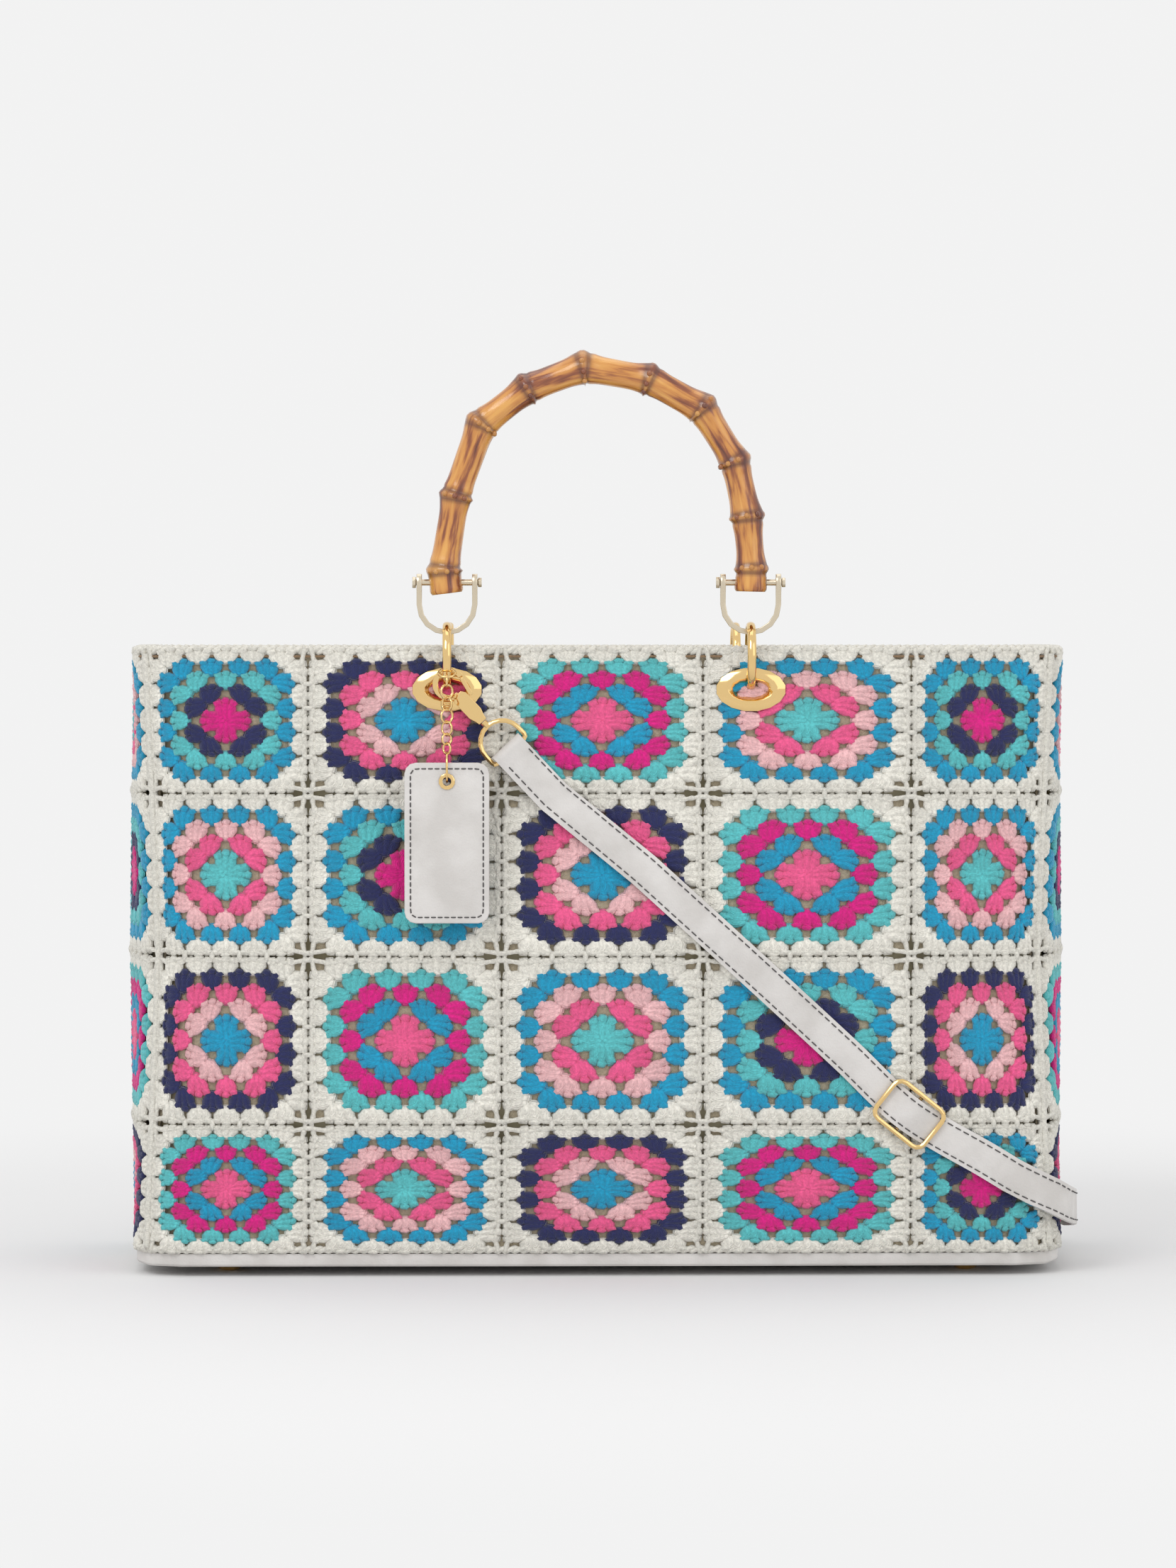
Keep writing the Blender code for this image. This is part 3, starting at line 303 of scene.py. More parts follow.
# %% The bag's sizes, as in the CAD source
BAG_WIDTH = 420.0
BAG_DEPTH = 160.0
RIM_HEIGHT = 284.0
CORNER_RADIUS = 22.0
CROCHET_BOTTOM = 10.6
SLIT_WIDTH = 3.0
SLIT_LENGTH = 15.5
SLIT_NECK = 2.2
STAND = np.array((-2.0, -10.0, 0.0))
HALF_WIDTH = BAG_WIDTH / 2
HALF_DEPTH = BAG_DEPTH / 2
CROCHET_TALL = RIM_HEIGHT - CROCHET_BOTTOM
FRONT_JOINTS = (0.0, 0.181, 0.393, 0.614, 0.843, 1.0)
SIDE_JOINTS = (0.0, 0.5, 1.0)
ROW_JOINTS = (0.0, 0.213, 0.491, 0.7595, 1.0)
BODY_SWELL = np.array((
    # height, front, side, pinch
    (0.0, 0.006, 0.012, 0.0),
    (0.213, 0.025, 0.021, 0.022),
    (0.491, 0.044, 0.028, 0.048),
    (0.7595, 0.011, 0.022, 0.025),
    (1.0, 0.007, 0.012, 0.0),
))
PINCH_REACH = 0.30
CORNER_ARC = math.pi * CORNER_RADIUS / 2
FRONT_SPAN = 2 * (HALF_WIDTH - CORNER_RADIUS) + CORNER_ARC
SIDE_SPAN = 2 * (HALF_DEPTH - CORNER_RADIUS) + CORNER_ARC
ROUND_SPAN = 2 * (FRONT_SPAN + SIDE_SPAN)
SPANS = (FRONT_SPAN, SIDE_SPAN, FRONT_SPAN, SIDE_SPAN)


def wall(along, height, lift):
    """Points of the wall in metres, from arrays of the way round from the front's middle, height and lift."""
    along, height, lift = np.broadcast_arrays(*(np.asarray(v, float) for v in (along, height, lift)))
    way = (along + FRONT_SPAN / 2) % ROUND_SPAN
    starts = np.cumsum((0.0,) + SPANS[:3])
    turn = np.searchsorted(starts, way, side="right") - 1
    is_side = turn % 2 == 1
    span = np.where(is_side, SIDE_SPAN, FRONT_SPAN)
    offset = way - starts[turn] - span / 2
    flat = (span - CORNER_ARC) / 2
    bend = np.maximum(0.0, np.abs(offset) - flat) / CORNER_RADIUS
    sign = np.sign(offset)
    x = sign * (np.minimum(np.abs(offset), flat) + CORNER_RADIUS * np.sin(bend))
    y = CORNER_RADIUS * (1 - np.cos(bend)) - np.where(is_side, HALF_WIDTH, HALF_DEPTH)
    share = np.abs(offset) / (span / 2)
    level = (height - CROCHET_BOTTOM) / CROCHET_TALL
    front, side, pinch = (np.interp(level, BODY_SWELL[:, 0], BODY_SWELL[:, c]) * BAG_DEPTH for c in (1, 2, 3))
    reach = PINCH_REACH * np.where(is_side, FRONT_SPAN / SIDE_SPAN, 1.0)
    corner = np.maximum(0.0, 1 - (1 - share) / reach) ** 2
    swell = np.where(is_side, side, front) * np.cos(share * math.pi / 2) ** 2 - pinch * corner
    x = x + sign * np.sin(bend) * (swell + lift)
    y = y - np.cos(bend) * (swell + lift)
    angle = turn * math.pi / 2
    turned = (x * np.cos(angle) - y * np.sin(angle), x * np.sin(angle) + y * np.cos(angle), height)
    return (np.stack(turned, axis=-1) + STAND) * MM


def column_joints():
    """Where the squares' upright joints are, once round the bag."""
    places = []
    start = -FRONT_SPAN / 2
    for span, shares in zip(SPANS, (FRONT_JOINTS, SIDE_JOINTS) * 2):
        places += [start + span * share for share in shares[:-1]]
        start += span
    return places + [start]


COLUMNS = column_joints()
ROWS = [CROCHET_BOTTOM + CROCHET_TALL * share for share in ROW_JOINTS]
print("squares:", (len(COLUMNS) - 1) * (len(ROWS) - 1))

# %% [markdown]
# ## Helpers for pieces
# Each piece is one mesh at the origin. Repeated stitches are copies of a stitch that bpy.ops models,
# laid on the wall as arrays, because thousands of linked objects would be slow and hard to export.


# %% Make and finish a piece
TWIST_LENGTH = 4.0


def make_piece(name, points, faces, material, body, colours=None, uvs=None, smooth=True):
    mesh = bpy.data.meshes.new(name)
    mesh.from_pydata(np.asarray(points).tolist(), [], faces)
    mesh.materials.append(material)
    if colours is not None:
        layer = mesh.color_attributes.new("Yarn", "FLOAT_COLOR", "POINT")
        layer.data.foreach_set("color", np.asarray(colours, np.float32).ravel())
    if uvs is not None:
        corners = np.empty(len(mesh.loops), np.int32)
        mesh.loops.foreach_get("vertex_index", corners)
        layer = mesh.uv_layers.new(name="UVMap")
        layer.data.foreach_set("uv", np.asarray(uvs, np.float32)[corners].ravel())
    mesh.polygons.foreach_set("use_smooth", [smooth] * len(mesh.polygons))
    piece = bpy.data.objects.new(name, mesh)
    bpy.context.scene.collection.objects.link(piece)
    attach(piece, body)
    return piece


def tube(path, radii, sides, closed=False, helper=None):
    """Points, faces and UVs of a round yarn along a path of points in metres. helper fixes its first side."""
    path = np.asarray(path)
    steps = len(path)
    ahead = np.roll(path, -1, axis=0) - np.roll(path, 1, axis=0)
    if not closed:
        ahead[0] = path[1] - path[0]
        ahead[-1] = path[-1] - path[-2]
    ahead /= np.linalg.norm(ahead, axis=1)[:, None]
    if helper is None:
        helper = np.where(np.abs(ahead[:, 2:]) > 0.9, np.array((0.0, 1.0, 0.0)), np.array((0.0, 0.0, 1.0)))
    across = np.cross(ahead, np.asarray(helper))
    across /= np.linalg.norm(across, axis=1)[:, None]
    up = np.cross(across, ahead)
    angles = np.arange(sides) * 2 * math.pi / sides
    ring = across[:, None] * np.cos(angles)[:, None] + up[:, None] * np.sin(angles)[:, None]
    points = path[:, None] + ring * np.broadcast_to(radii, (steps,))[:, None, None]
    faces = []
    for step in range(steps if closed else steps - 1):
        near = step * sides
        far = (step + 1) % steps * sides
        for side in range(sides):
            following = (side + 1) % sides
            faces.append((near + side, near + following, far + following, far + side))
    if not closed:
        faces.append(tuple(range(sides))[::-1])
        faces.append(tuple(range((steps - 1) * sides, steps * sides)))
    lengths = np.concatenate(((0.0,), np.cumsum(np.linalg.norm(np.diff(path, axis=0), axis=1))))
    uvs = np.stack(np.broadcast_arrays(angles / (2 * math.pi), lengths[:, None] / (TWIST_LENGTH * MM)), axis=-1)
    return points.reshape(-1, 3), faces, uvs.reshape(-1, 2)


def gather(parts):
    """Joins several (points, faces, uvs, colour) parts into one mesh's arrays."""
    points, faces, uvs, colours = [], [], [], []
    start = 0
    for part_points, part_faces, part_uvs, colour in parts:
        points.append(part_points)
        faces += [tuple(start + index for index in face) for face in part_faces]
        uvs.append(part_uvs)
        colours.append(np.tile(linear(colour), (len(part_points), 1)))
        start += len(part_points)
    return np.concatenate(points), faces, np.concatenate(colours), np.concatenate(uvs)


# %% [markdown]
# ## One cluster of stitches
# In a granny square each cluster is three treble stitches worked into one gap: three fat posts that
# meet at the bottom and fan out at the top, under a row of chain loops. bpy.ops makes the posts as
# squashed balls that lean, and the loops as smaller ones, joined into one small mesh.

# %% Model the cluster: across from -0.5 to 0.5, up from 0 to 1, and its thickness in yarn radii
POST_LEAN = math.radians(11)
POST_SPREAD = 0.1872
POST_MIDDLE = 0.46
POST_HALF_LENGTH = 0.54
OUTER_POST_SHORTER = 0.05
POST_HALF_WIDTH = 0.19
LOOP_SPREAD = 0.27
LOOP_HEIGHT = 0.80
OUTER_LOOP_LOWER = 0.12
LOOP_LIFT = 0.32
LOOP_SIZE = (0.14, 0.18, 0.85)
LOOP_LEAN = 0.5


def add_blob(place, size, lean, segments):
    """A squashed ball with few faces, because the cluster is copied thousands of times."""
    bpy.ops.mesh.primitive_uv_sphere_add(segments=segments, ring_count=4, radius=1.0)
    blob = bpy.context.object
    blob.scale = size
    blob.rotation_euler = (0.0, 0.0, lean)
    blob.location = place
    return blob


def model_cluster():
    bpy.ops.object.select_all(action="DESELECT")
    blobs = []
    for side in (-1, 0, 1):
        size = (POST_HALF_LENGTH - OUTER_POST_SHORTER * abs(side), POST_HALF_WIDTH, 1.0)
        lean = math.pi / 2 - side * POST_LEAN
        blobs.append(add_blob((side * POST_SPREAD, POST_MIDDLE, 0.0), size, lean, 6))
    for side in (-1, 0, 1):
        place = (side * LOOP_SPREAD, LOOP_HEIGHT - OUTER_LOOP_LOWER * abs(side), LOOP_LIFT)
        blobs.append(add_blob(place, LOOP_SIZE, math.pi / 2 + side * LOOP_LEAN, 5))
    for blob in blobs:
        blob.select_set(True)
    bpy.context.view_layer.objects.active = blobs[0]
    bpy.ops.object.join()
    bpy.ops.object.transform_apply(location=True, rotation=True, scale=True)
    cluster = bpy.context.object
    mesh = cluster.data
    points = np.array([v.co for v in mesh.vertices])
    faces = [tuple(p.vertices) for p in mesh.polygons]
    uvs = np.zeros((len(points), 2))
    for loop, uv in zip(mesh.loops, mesh.uv_layers.active.data):
        uvs[loop.vertex_index] = uv.uv
    bpy.data.objects.remove(cluster)
    return points, faces, uvs


CLUSTER_POINTS, CLUSTER_FACES, CLUSTER_UVS = model_cluster()
print("cluster faces:", len(CLUSTER_FACES), "points:", len(CLUSTER_POINTS))

# %% [markdown]
# ## The granny squares
# Each square is worked outwards in five rounds. Round one has a cluster on each of its four sides, and
# each later round one more a side, worked into the gaps of the one before. Four kinds of square differ
# in their yarns, and the last round of each is white.

# %% The four kinds of square, from the middle outwards
SQUARE_KINDS = {
    "A": (MAGENTA_YARN, NAVY_YARN, AQUA_YARN, BLUE_YARN, WHITE_YARN),
    "B": (BLUE_YARN, LIGHT_PINK_YARN, PINK_YARN, NAVY_YARN, WHITE_YARN),
    "C": (PINK_YARN, BLUE_YARN, MAGENTA_YARN, AQUA_YARN, WHITE_YARN),
    "D": (AQUA_YARN, PINK_YARN, LIGHT_PINK_YARN, BLUE_YARN, WHITE_YARN),
}
# Rows from the rim down: front, right side, back, left side
SQUARE_CHART = (
    "ABCDA" + "DB" + "ABCDA" + "BD",
    "DABCD" + "AC" + "DABCD" + "CA",
    "BCDAB" + "CD" + "BCDAB" + "DC",
    "CDBCA" + "BA" + "CDBCA" + "AB",
)
ROUND_ENDS = (0.02, 0.29, 0.47, 0.65, 0.82, 0.975)
CORNER_SPACE = 0.85
CLUSTER_SPACING = 1.0 / 3
CLUSTER_WIDTH = 0.355
LAST_ROUND_WIDTH = 0.43
CLUSTER_OVERLAP = 0.055
YARN_RADIUS = 1.55
STITCH_LIFT = -0.25
SIZE_CHANCE = 0.05
PLACE_CHANCE = 0.008
TINT_CHANCE = (0.93, 1.04)
ROUNDS = len(ROUND_ENDS) - 1
chance = np.random.default_rng(7)


def cluster_places():
    """Each cluster of one square: its round and side, and its inner and outer end in half squares."""
    for level in range(1, ROUNDS + 1):
        for side in range(4):
            for index in range(level):
                across = (index - (level - 1) / 2) * CLUSTER_SPACING
                inner = np.array((across, ROUND_ENDS[level - 1]))
                outer = np.array((across, ROUND_ENDS[level]))
                if level > 1 and index in (0, level - 1):
                    corner = CORNER_SPACE * ROUND_ENDS[level - 1]
                    inner = (inner + np.array((math.copysign(corner, across), corner))) / 2
                yield level, side, inner, outer


def lay_cluster(level, side, inner, outer):
    """The cluster's points as (x, y, lift), with x and y in half squares."""
    width = LAST_ROUND_WIDTH if level == ROUNDS else CLUSTER_WIDTH
    ahead = outer - inner
    size = 1 + chance.uniform(-SIZE_CHANCE, SIZE_CHANCE)
    start = inner - ahead * CLUSTER_OVERLAP / np.linalg.norm(ahead)
    stretch = 1 + 2 * CLUSTER_OVERLAP / np.linalg.norm(ahead)
    local = start + CLUSTER_POINTS[:, 1:2] * ahead * stretch
    nudge = chance.uniform(-PLACE_CHANCE, PLACE_CHANCE)
    local[:, 0] += CLUSTER_POINTS[:, 0] * width * size + nudge
    x, y = local.T
    for _ in range(side):
        x, y = y, -x
    return x, y, CLUSTER_POINTS[:, 2] * YARN_RADIUS * size + STITCH_LIFT


def make_squares(name, columns, rows):
    """The clusters of a block of squares, as one piece."""
    points, colours = [], []
    for column in columns:
        half_width = (COLUMNS[column + 1] - COLUMNS[column]) / 2
        middle = (COLUMNS[column + 1] + COLUMNS[column]) / 2
        for row in rows:
            half_height = (ROWS[row + 1] - ROWS[row]) / 2
            level_up = (ROWS[row + 1] + ROWS[row]) / 2
            kind = SQUARE_KINDS[SQUARE_CHART[len(ROWS) - 2 - row][column]]
            for level, side, inner, outer in cluster_places():
                x, y, lift = lay_cluster(level, side, inner, outer)
                points.append(np.stack((middle + x * half_width, level_up + y * half_height, lift)))
                tint = np.array(linear(kind[level - 1])) * chance.uniform(*TINT_CHANCE)
                colours.append(np.tile(tint, (len(x), 1)))
    count = len(points)
    laid = np.concatenate(points, axis=1)
    faces = []
    for number in range(count):
        start = number * len(CLUSTER_POINTS)
        faces += [tuple(start + index for index in face) for face in CLUSTER_FACES]
    uvs = np.tile(CLUSTER_UVS, (count, 1))
    piece = make_piece(name, wall(*laid), faces, YARN, "bag", np.concatenate(colours), uvs)
    print(name, "faces:", len(faces))
    return piece


# %% Lay the squares: the front and back in two halves each, and each side
LOWER_ROWS = (0, 1)
UPPER_ROWS = (2, 3)
ALL_ROWS = LOWER_ROWS + UPPER_ROWS
crochet_pieces = [
    make_squares("crochet_front_lower", range(0, 5), LOWER_ROWS),
    make_squares("crochet_front_upper", range(0, 5), UPPER_ROWS),
    make_squares("crochet_right", range(5, 7), ALL_ROWS),
    make_squares("crochet_back_lower", range(7, 12), LOWER_ROWS),
    make_squares("crochet_back_upper", range(7, 12), UPPER_ROWS),
    make_squares("crochet_left", range(12, 14), ALL_ROWS),
]
for piece in crochet_pieces:
    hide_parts("crochet_cover")

# %% [markdown]
# ## The ground of the crochet, in painted shade
# Between the clusters the real bag shows the shaded yarn behind them, and next to each crossing a slit
# is open to the lining. The ground is one thin sheet on the wall's grid in a painted shade colour, with the
# slits' faces left out.

# %% Make the ground with its slits
GROUND_LIFT = -1.5
GROUND_THICKNESS = 1.6


def lines_between(joints):
    """Grid lines next to each joint at the slit's edges and ends, and one in the middle."""
    lines = []
    for start, end in zip(joints[:-1], joints[1:]):
        edges = (SLIT_WIDTH / 2, SLIT_NECK, SLIT_NECK + SLIT_LENGTH)
        lines += [start] + [start + e for e in edges] + [(start + end) / 2] + [end - e for e in edges[::-1]]
    return lines + [joints[-1]]


def from_joint(value, joints):
    return min(abs(value - joint) for joint in joints)


def make_ground():
    round_lines = lines_between(COLUMNS)
    height_lines = lines_between(ROWS)
    crossings = ROWS[1:-1]
    columns = len(round_lines)
    faces = []
    for row in range(len(height_lines) - 1):
        height = (height_lines[row] + height_lines[row + 1]) / 2
        off_row = from_joint(height, crossings)
        for column in range(columns - 1):
            along = (round_lines[column] + round_lines[column + 1]) / 2
            off_column = from_joint(along, COLUMNS)
            upright = off_column < SLIT_WIDTH / 2 and SLIT_NECK < off_row < SLIT_NECK + SLIT_LENGTH
            level = off_row < SLIT_WIDTH / 2 and SLIT_NECK < off_column < SLIT_NECK + SLIT_LENGTH
            if not (upright or level):
                near = row * columns + column
                faces.append((near, near + 1, near + columns + 1, near + columns))
    along, height = np.meshgrid(round_lines, height_lines)
    points = wall(along.ravel(), height.ravel(), GROUND_LIFT)
    # the whole sheet takes the painted shade colour of the gaps
    colours = np.tile(linear(PAINTED_SHADE_GROUND), (len(points), 1))
    uvs = np.stack((along.ravel(), height.ravel()), axis=-1) / TWIST_LENGTH
    ground = make_piece("painted_shade_ground", points, faces, YARN, "bag", colours, uvs)
    thick = ground.modifiers.new("thickness", "SOLIDIFY")
    thick.thickness = GROUND_THICKNESS * MM
    thick.offset = -1.0
    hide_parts("crochet_cover")
    return ground


ground = make_ground()
print("ground faces:", len(ground.data.polygons))

# %% [markdown]
# ## Joints between the squares
# The squares are crocheted together in white: two strands of chain loops run side by side along each
# joint, tied together by a knot at each gap between clusters and parted by the slits. The rim has a
# thicker twisted edge over a thin brown line, and a ridge runs down each corner.

# %% The strands and knots
STRAND_RADIUS = 1.15
STRAND_APART = 1.45
STRAND_OPEN = 1.35
BEAD_LENGTH = 3.4
STRAND_LIFT = 0.2
STRAND_STEP = 1.7
BEAD_DEPTH = 0.16
SLIT_MIDDLE_SHARE = 0.78
SLIT_REACH_SHARE = 0.12
GAP_OPEN = 0.35
CROSSING_START_SHARE = 0.93
CROSSING_CLOSE = 0.5
KNOT_SHARES = (-0.5, -0.167, 0.167, 0.5)
KNOT_REACH = 2.6
KNOT_RADIUS = 1.25
KNOT_LIFT = 0.9
KNOT_SAG = 0.09
KNOT_END_SHARE = 0.12
KNOT_ROUNDING = 1.05
CROSSING_KNOTS = (-1.6, 1.6)


def strand_line(start, end):
    """Positions along a strand in millimetres, its share of a half square and its chain loops' radii."""
    steps = int(abs(end - start) / STRAND_STEP) + 1
    place = np.linspace(start, end, steps)
    share = (place - (start + end) / 2) / ((end - start) / 2)
    radius = STRAND_RADIUS * (1 + BEAD_DEPTH * np.sin(2 * math.pi * place / BEAD_LENGTH))
    return place, share, radius * MM


def strand_parting(share):
    """How far a strand is from its joint's line: knots draw it in and slits let it out."""
    slit = np.exp(-((np.abs(share) - SLIT_MIDDLE_SHARE) / SLIT_REACH_SHARE) ** 2)
    gap = GAP_OPEN * np.cos(share * 3 * math.pi) ** 2
    nearness = (np.abs(share) - CROSSING_START_SHARE) / (1 - CROSSING_START_SHARE)
    crossing = CROSSING_CLOSE * np.clip(nearness, 0, 1)
    return STRAND_APART * (1 - crossing) + STRAND_OPEN * slit + gap


def knot(along, height, turned):
    """A short fat stitch across a joint."""
    offsets = np.linspace(-KNOT_REACH, KNOT_REACH, 5)
    fullness = 1 - (offsets / (KNOT_REACH * KNOT_ROUNDING)) ** 2
    rounding = KNOT_RADIUS * np.sqrt(np.maximum(KNOT_END_SHARE, fullness)) * MM
    lift = KNOT_LIFT - KNOT_SAG * offsets ** 2
    if turned:
        return tube(wall(along, height + offsets, lift), rounding, 6)
    return tube(wall(along + offsets, height, lift), rounding, 6)


def upright_joint(along):
    parts = []
    for bottom, top in zip(ROWS[:-1], ROWS[1:]):
        place, share, radius = strand_line(bottom, top)
        for side in (-1, 1):
            line = wall(along + side * strand_parting(share), place, STRAND_LIFT)
            parts.append((*tube(line, radius, 6), WHITE_YARN))
        for knot_share in KNOT_SHARES:
            height = (bottom + top) / 2 + knot_share * (top - bottom) / 2
            parts.append((*knot(along, height, False), WHITE_YARN))
    return parts


def level_joint(height):
    parts = []
    for start, end in zip(COLUMNS[:-1], COLUMNS[1:]):
        place, share, radius = strand_line(start, end)
        for side in (-1, 1):
            line = wall(place, height + side * strand_parting(share), STRAND_LIFT)
            parts.append((*tube(line, radius, 6), WHITE_YARN))
        for knot_share in KNOT_SHARES:
            along = (start + end) / 2 + knot_share * (end - start) / 2
            parts.append((*knot(along, height, True), WHITE_YARN))
    return parts


def crossing_knot(along, height):
    """The thick stitches where four squares meet."""
    return [(*knot(along, height + up, False), WHITE_YARN) for up in CROSSING_KNOTS]


def make_joints():
    parts = []
    for along in COLUMNS[:-1]:
        parts += upright_joint(along)
        for height in ROWS[1:-1]:
            parts += crossing_knot(along, height)
    for height in ROWS[1:-1]:
        parts += level_joint(height)
    points, faces, colours, uvs = gather(parts)
    joints = make_piece("square_joints", points, faces, YARN, "bag", colours, uvs)
    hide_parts("crochet_cover")
    print("square_joints faces:", len(faces))
    return joints


# %% The twisted edges, the brown line and the corner ridges
TWIST_PITCH = 8.0
TWIST_STEP = 2.0
TWIST_DEPTH = 0.7
EDGE_TWISTS = (
    # height, radius, apart, lift
    (RIM_HEIGHT - 1.4, 1.5, 1.1, -1.4),
    (CROCHET_BOTTOM + 1.6, 1.3, 0.8, -0.6),
)
RIM_LINE_DROP = 4.1
RIM_LINE_RADIUS = 0.55
RIM_LINE_LIFT = 0.1
RIM_LINE_STEP = 3.0
RIDGE_RADIUS = 1.7
RIDGE_LIFT = 0.9
RIDGE_BEAD = 5.0
RIDGE_BEAD_DEPTH = 0.18
RIDGE_END = 2.0
CORNER_COLUMNS = (0, 5, 7, 12)


def round_places(step):
    """Even places once round the bag."""
    steps = int(ROUND_SPAN / step)
    return np.arange(steps) * ROUND_SPAN / steps


def twisted_edge(height, radius, apart, lift):
    """Two strands twisted round each other, once round the bag."""
    parts = []
    place = round_places(TWIST_STEP)
    turns = round(ROUND_SPAN / TWIST_PITCH)
    phase = place / ROUND_SPAN * turns * 2 * math.pi
    for strand in (0, math.pi):
        heights = height + apart * np.sin(phase + strand)
        lifts = lift + apart * TWIST_DEPTH * np.cos(phase + strand)
        parts.append((*tube(wall(place, heights, lifts), radius * MM, 7, closed=True), WHITE_YARN))
    return parts


def corner_ridge(along):
    """A raised line of chain loops down a corner of the bag."""
    place = np.arange(CROCHET_BOTTOM + RIDGE_END, RIM_HEIGHT - RIDGE_END, STRAND_STEP)
    radius = RIDGE_RADIUS * (1 + RIDGE_BEAD_DEPTH * np.sin(2 * math.pi * place / RIDGE_BEAD)) * MM
    return (*tube(wall(along, place, RIDGE_LIFT), radius, 7), WHITE_YARN)


def make_edges():
    parts = []
    for twist in EDGE_TWISTS:
        parts += twisted_edge(*twist)
    line = wall(round_places(RIM_LINE_STEP), RIM_HEIGHT - RIM_LINE_DROP, RIM_LINE_LIFT)
    parts.append((*tube(line, RIM_LINE_RADIUS * MM, 5, closed=True), RIM_LINE))
    for corner in CORNER_COLUMNS:
        parts.append(corner_ridge(COLUMNS[corner]))
    points, faces, colours, uvs = gather(parts)
    edges = make_piece("rim_and_corner_edges", points, faces, YARN, "bag", colours, uvs)
    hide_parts("crochet_cover")
    print("rim_and_corner_edges faces:", len(faces))
    return edges


square_joints = make_joints()
edges = make_edges()

# %% [markdown]
# ## Metal, leather and cloth pieces that keep their CAD form
# Shackles, pins, hooks, eyelets and the slider are cast or turned parts with crisp edges, so each
# keeps its CAD form with a small bevel on its edges and smooth sides, under its plating. The same goes
# for the leather pieces, whose cut edges are rounded more, and for the lining.


# %% Copy a CAD node as a finished piece
MERGE_DISTANCE = 0.01


def finished_copy(node, material, bevel, smooth_angle=40.0, segments=2):
    """A CAD node's form, merged, with its edges rounded by that many millimetres."""
    source = nodes[node]
    mesh = source.data.copy()
    mesh.materials.clear()
    mesh.materials.append(material)
    piece = bpy.data.objects.new(node + "_finish", mesh)
    bpy.context.scene.collection.objects.link(piece)
    bpy.ops.object.select_all(action="DESELECT")
    piece.select_set(True)
    bpy.context.view_layer.objects.active = piece
    bpy.ops.object.mode_set(mode="EDIT")
    bpy.ops.mesh.select_all(action="SELECT")
    bpy.ops.mesh.remove_doubles(threshold=MERGE_DISTANCE * MM)
    bpy.ops.mesh.tris_convert_to_quads()
    bpy.ops.object.mode_set(mode="OBJECT")
    if bevel:
        rounding = piece.modifiers.new("rounding", "BEVEL")
        rounding.width = bevel * MM
        rounding.segments = segments
        rounding.limit_method = "ANGLE"
        rounding.angle_limit = math.radians(smooth_angle)
        bpy.ops.object.modifier_apply(modifier="rounding")
    bpy.ops.object.shade_smooth_by_angle(angle=math.radians(smooth_angle))
    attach(piece, source["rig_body"])
    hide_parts(node)
    return piece


CORNERS = ("front_left", "front_right", "rear_left", "rear_right")
for corner in CORNERS:
    finished_copy("eyelet_" + corner, GOLD_PLATE, 0.25)
    finished_copy("shackle_" + corner, CHAMPAGNE_PLATE, 0.25)
    finished_copy("pin_" + corner, CHAMPAGNE_PLATE, 0.2)
for foot in (1, 2, 3, 4):
    finished_copy(f"foot_{foot}", GOLD_PLATE, 0.0, 50.0)
for hardware in ("snap_hook", "hook_gate", "swivel_ring", "rear_clasp", "slider_buckle", "tag_grommet"):
    finished_copy(hardware, GOLD_PLATE, 0.2)
finished_copy("tag_chain", GOLD_PLATE, 0.0, 80.0)
finished_copy("lining", CLOTH, 0.0, 60.0)
finished_copy("base_panel", LEATHER, 0.5)
finished_copy("shoulder_strap", LEATHER, 0.5)
finished_copy("tag", LEATHER, 0.9, 40.0, 4)

# %% [markdown]
# ## Rings
# The real rings are cast: a round loop, wider than it is thick, that stands across the wall. A torus
# from bpy.ops, widened along its axis, gives that smooth polished loop in one step.

# %% Model the four rings where the CAD has them
RING_OUTER_RADIUS = 15.5
RING_THICKNESS = 3.0
RING_WIDTH = 4.0


def make_ring(corner):
    low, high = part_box("ring_" + corner)
    bpy.ops.object.select_all(action="DESELECT")
    bpy.ops.mesh.primitive_torus_add(
        location=(low + high) / 2,
        rotation=(0.0, math.pi / 2, 0.0),
        major_segments=56,
        minor_segments=18,
        major_radius=(RING_OUTER_RADIUS - RING_THICKNESS / 2) * MM,
        minor_radius=RING_THICKNESS / 2 * MM,
    )
    ring = bpy.context.object
    ring.name = "ring_" + corner + "_finish"
    ring.scale = (1.0, 1.0, RING_WIDTH / RING_THICKNESS)
    bpy.ops.object.transform_apply(location=True, rotation=True, scale=True)
    bpy.ops.object.shade_smooth()
    ring.data.materials.append(GOLD_PLATE)
    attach(ring, "bag")
    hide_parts("ring_" + corner)
    return ring


for corner in CORNERS:
    make_ring(corner)

# %% [markdown]
# ## Bamboo handles
# A bamboo handle is one cane bent by heat, so it kinks at each node, swells there with a thin lip and a
# groove, and is scorched in streaks. The cane is a sweep along the kinked arch, whose radius follows
# those forms, and small round buds sit on the nodes.

# %% The arch's shape, as in the CAD source
EYELET_SPACING = 136.8
HANDLE_HEIGHT = 96.5
HANDLE_END_DROP = 5.0
HANDLE_KINKS = (
    # across, up
    (-1.019, 0.057),
    (-0.940, 0.40),
    (-0.776, 0.737),
    (-0.475, 0.902),
    (-0.101, 1.0),
    (0.327, 0.948),
    (0.681, 0.810),
    (0.896, 0.565),
    (0.974, 0.306),
    (1.004, 0.063),
)
CANE_RADIUS = 6.25
CANE_STEP = 0.9
CANE_SIDES = 24
NODE_FORMS = (
    # height, off the node, reach
    (1.15, 0.0, 5.0),
    (0.75, 0.0, 1.1),
    (-0.45, 2.4, 0.9),
)
END_SWELL = 1.3
END_SWELL_REACH = 6.0
END_ROUNDING = 0.9
END_ROUNDING_REACH = 1.8
EASING_PASSES = 6
WAVER = 0.025
WAVER_LENGTH = 9.0
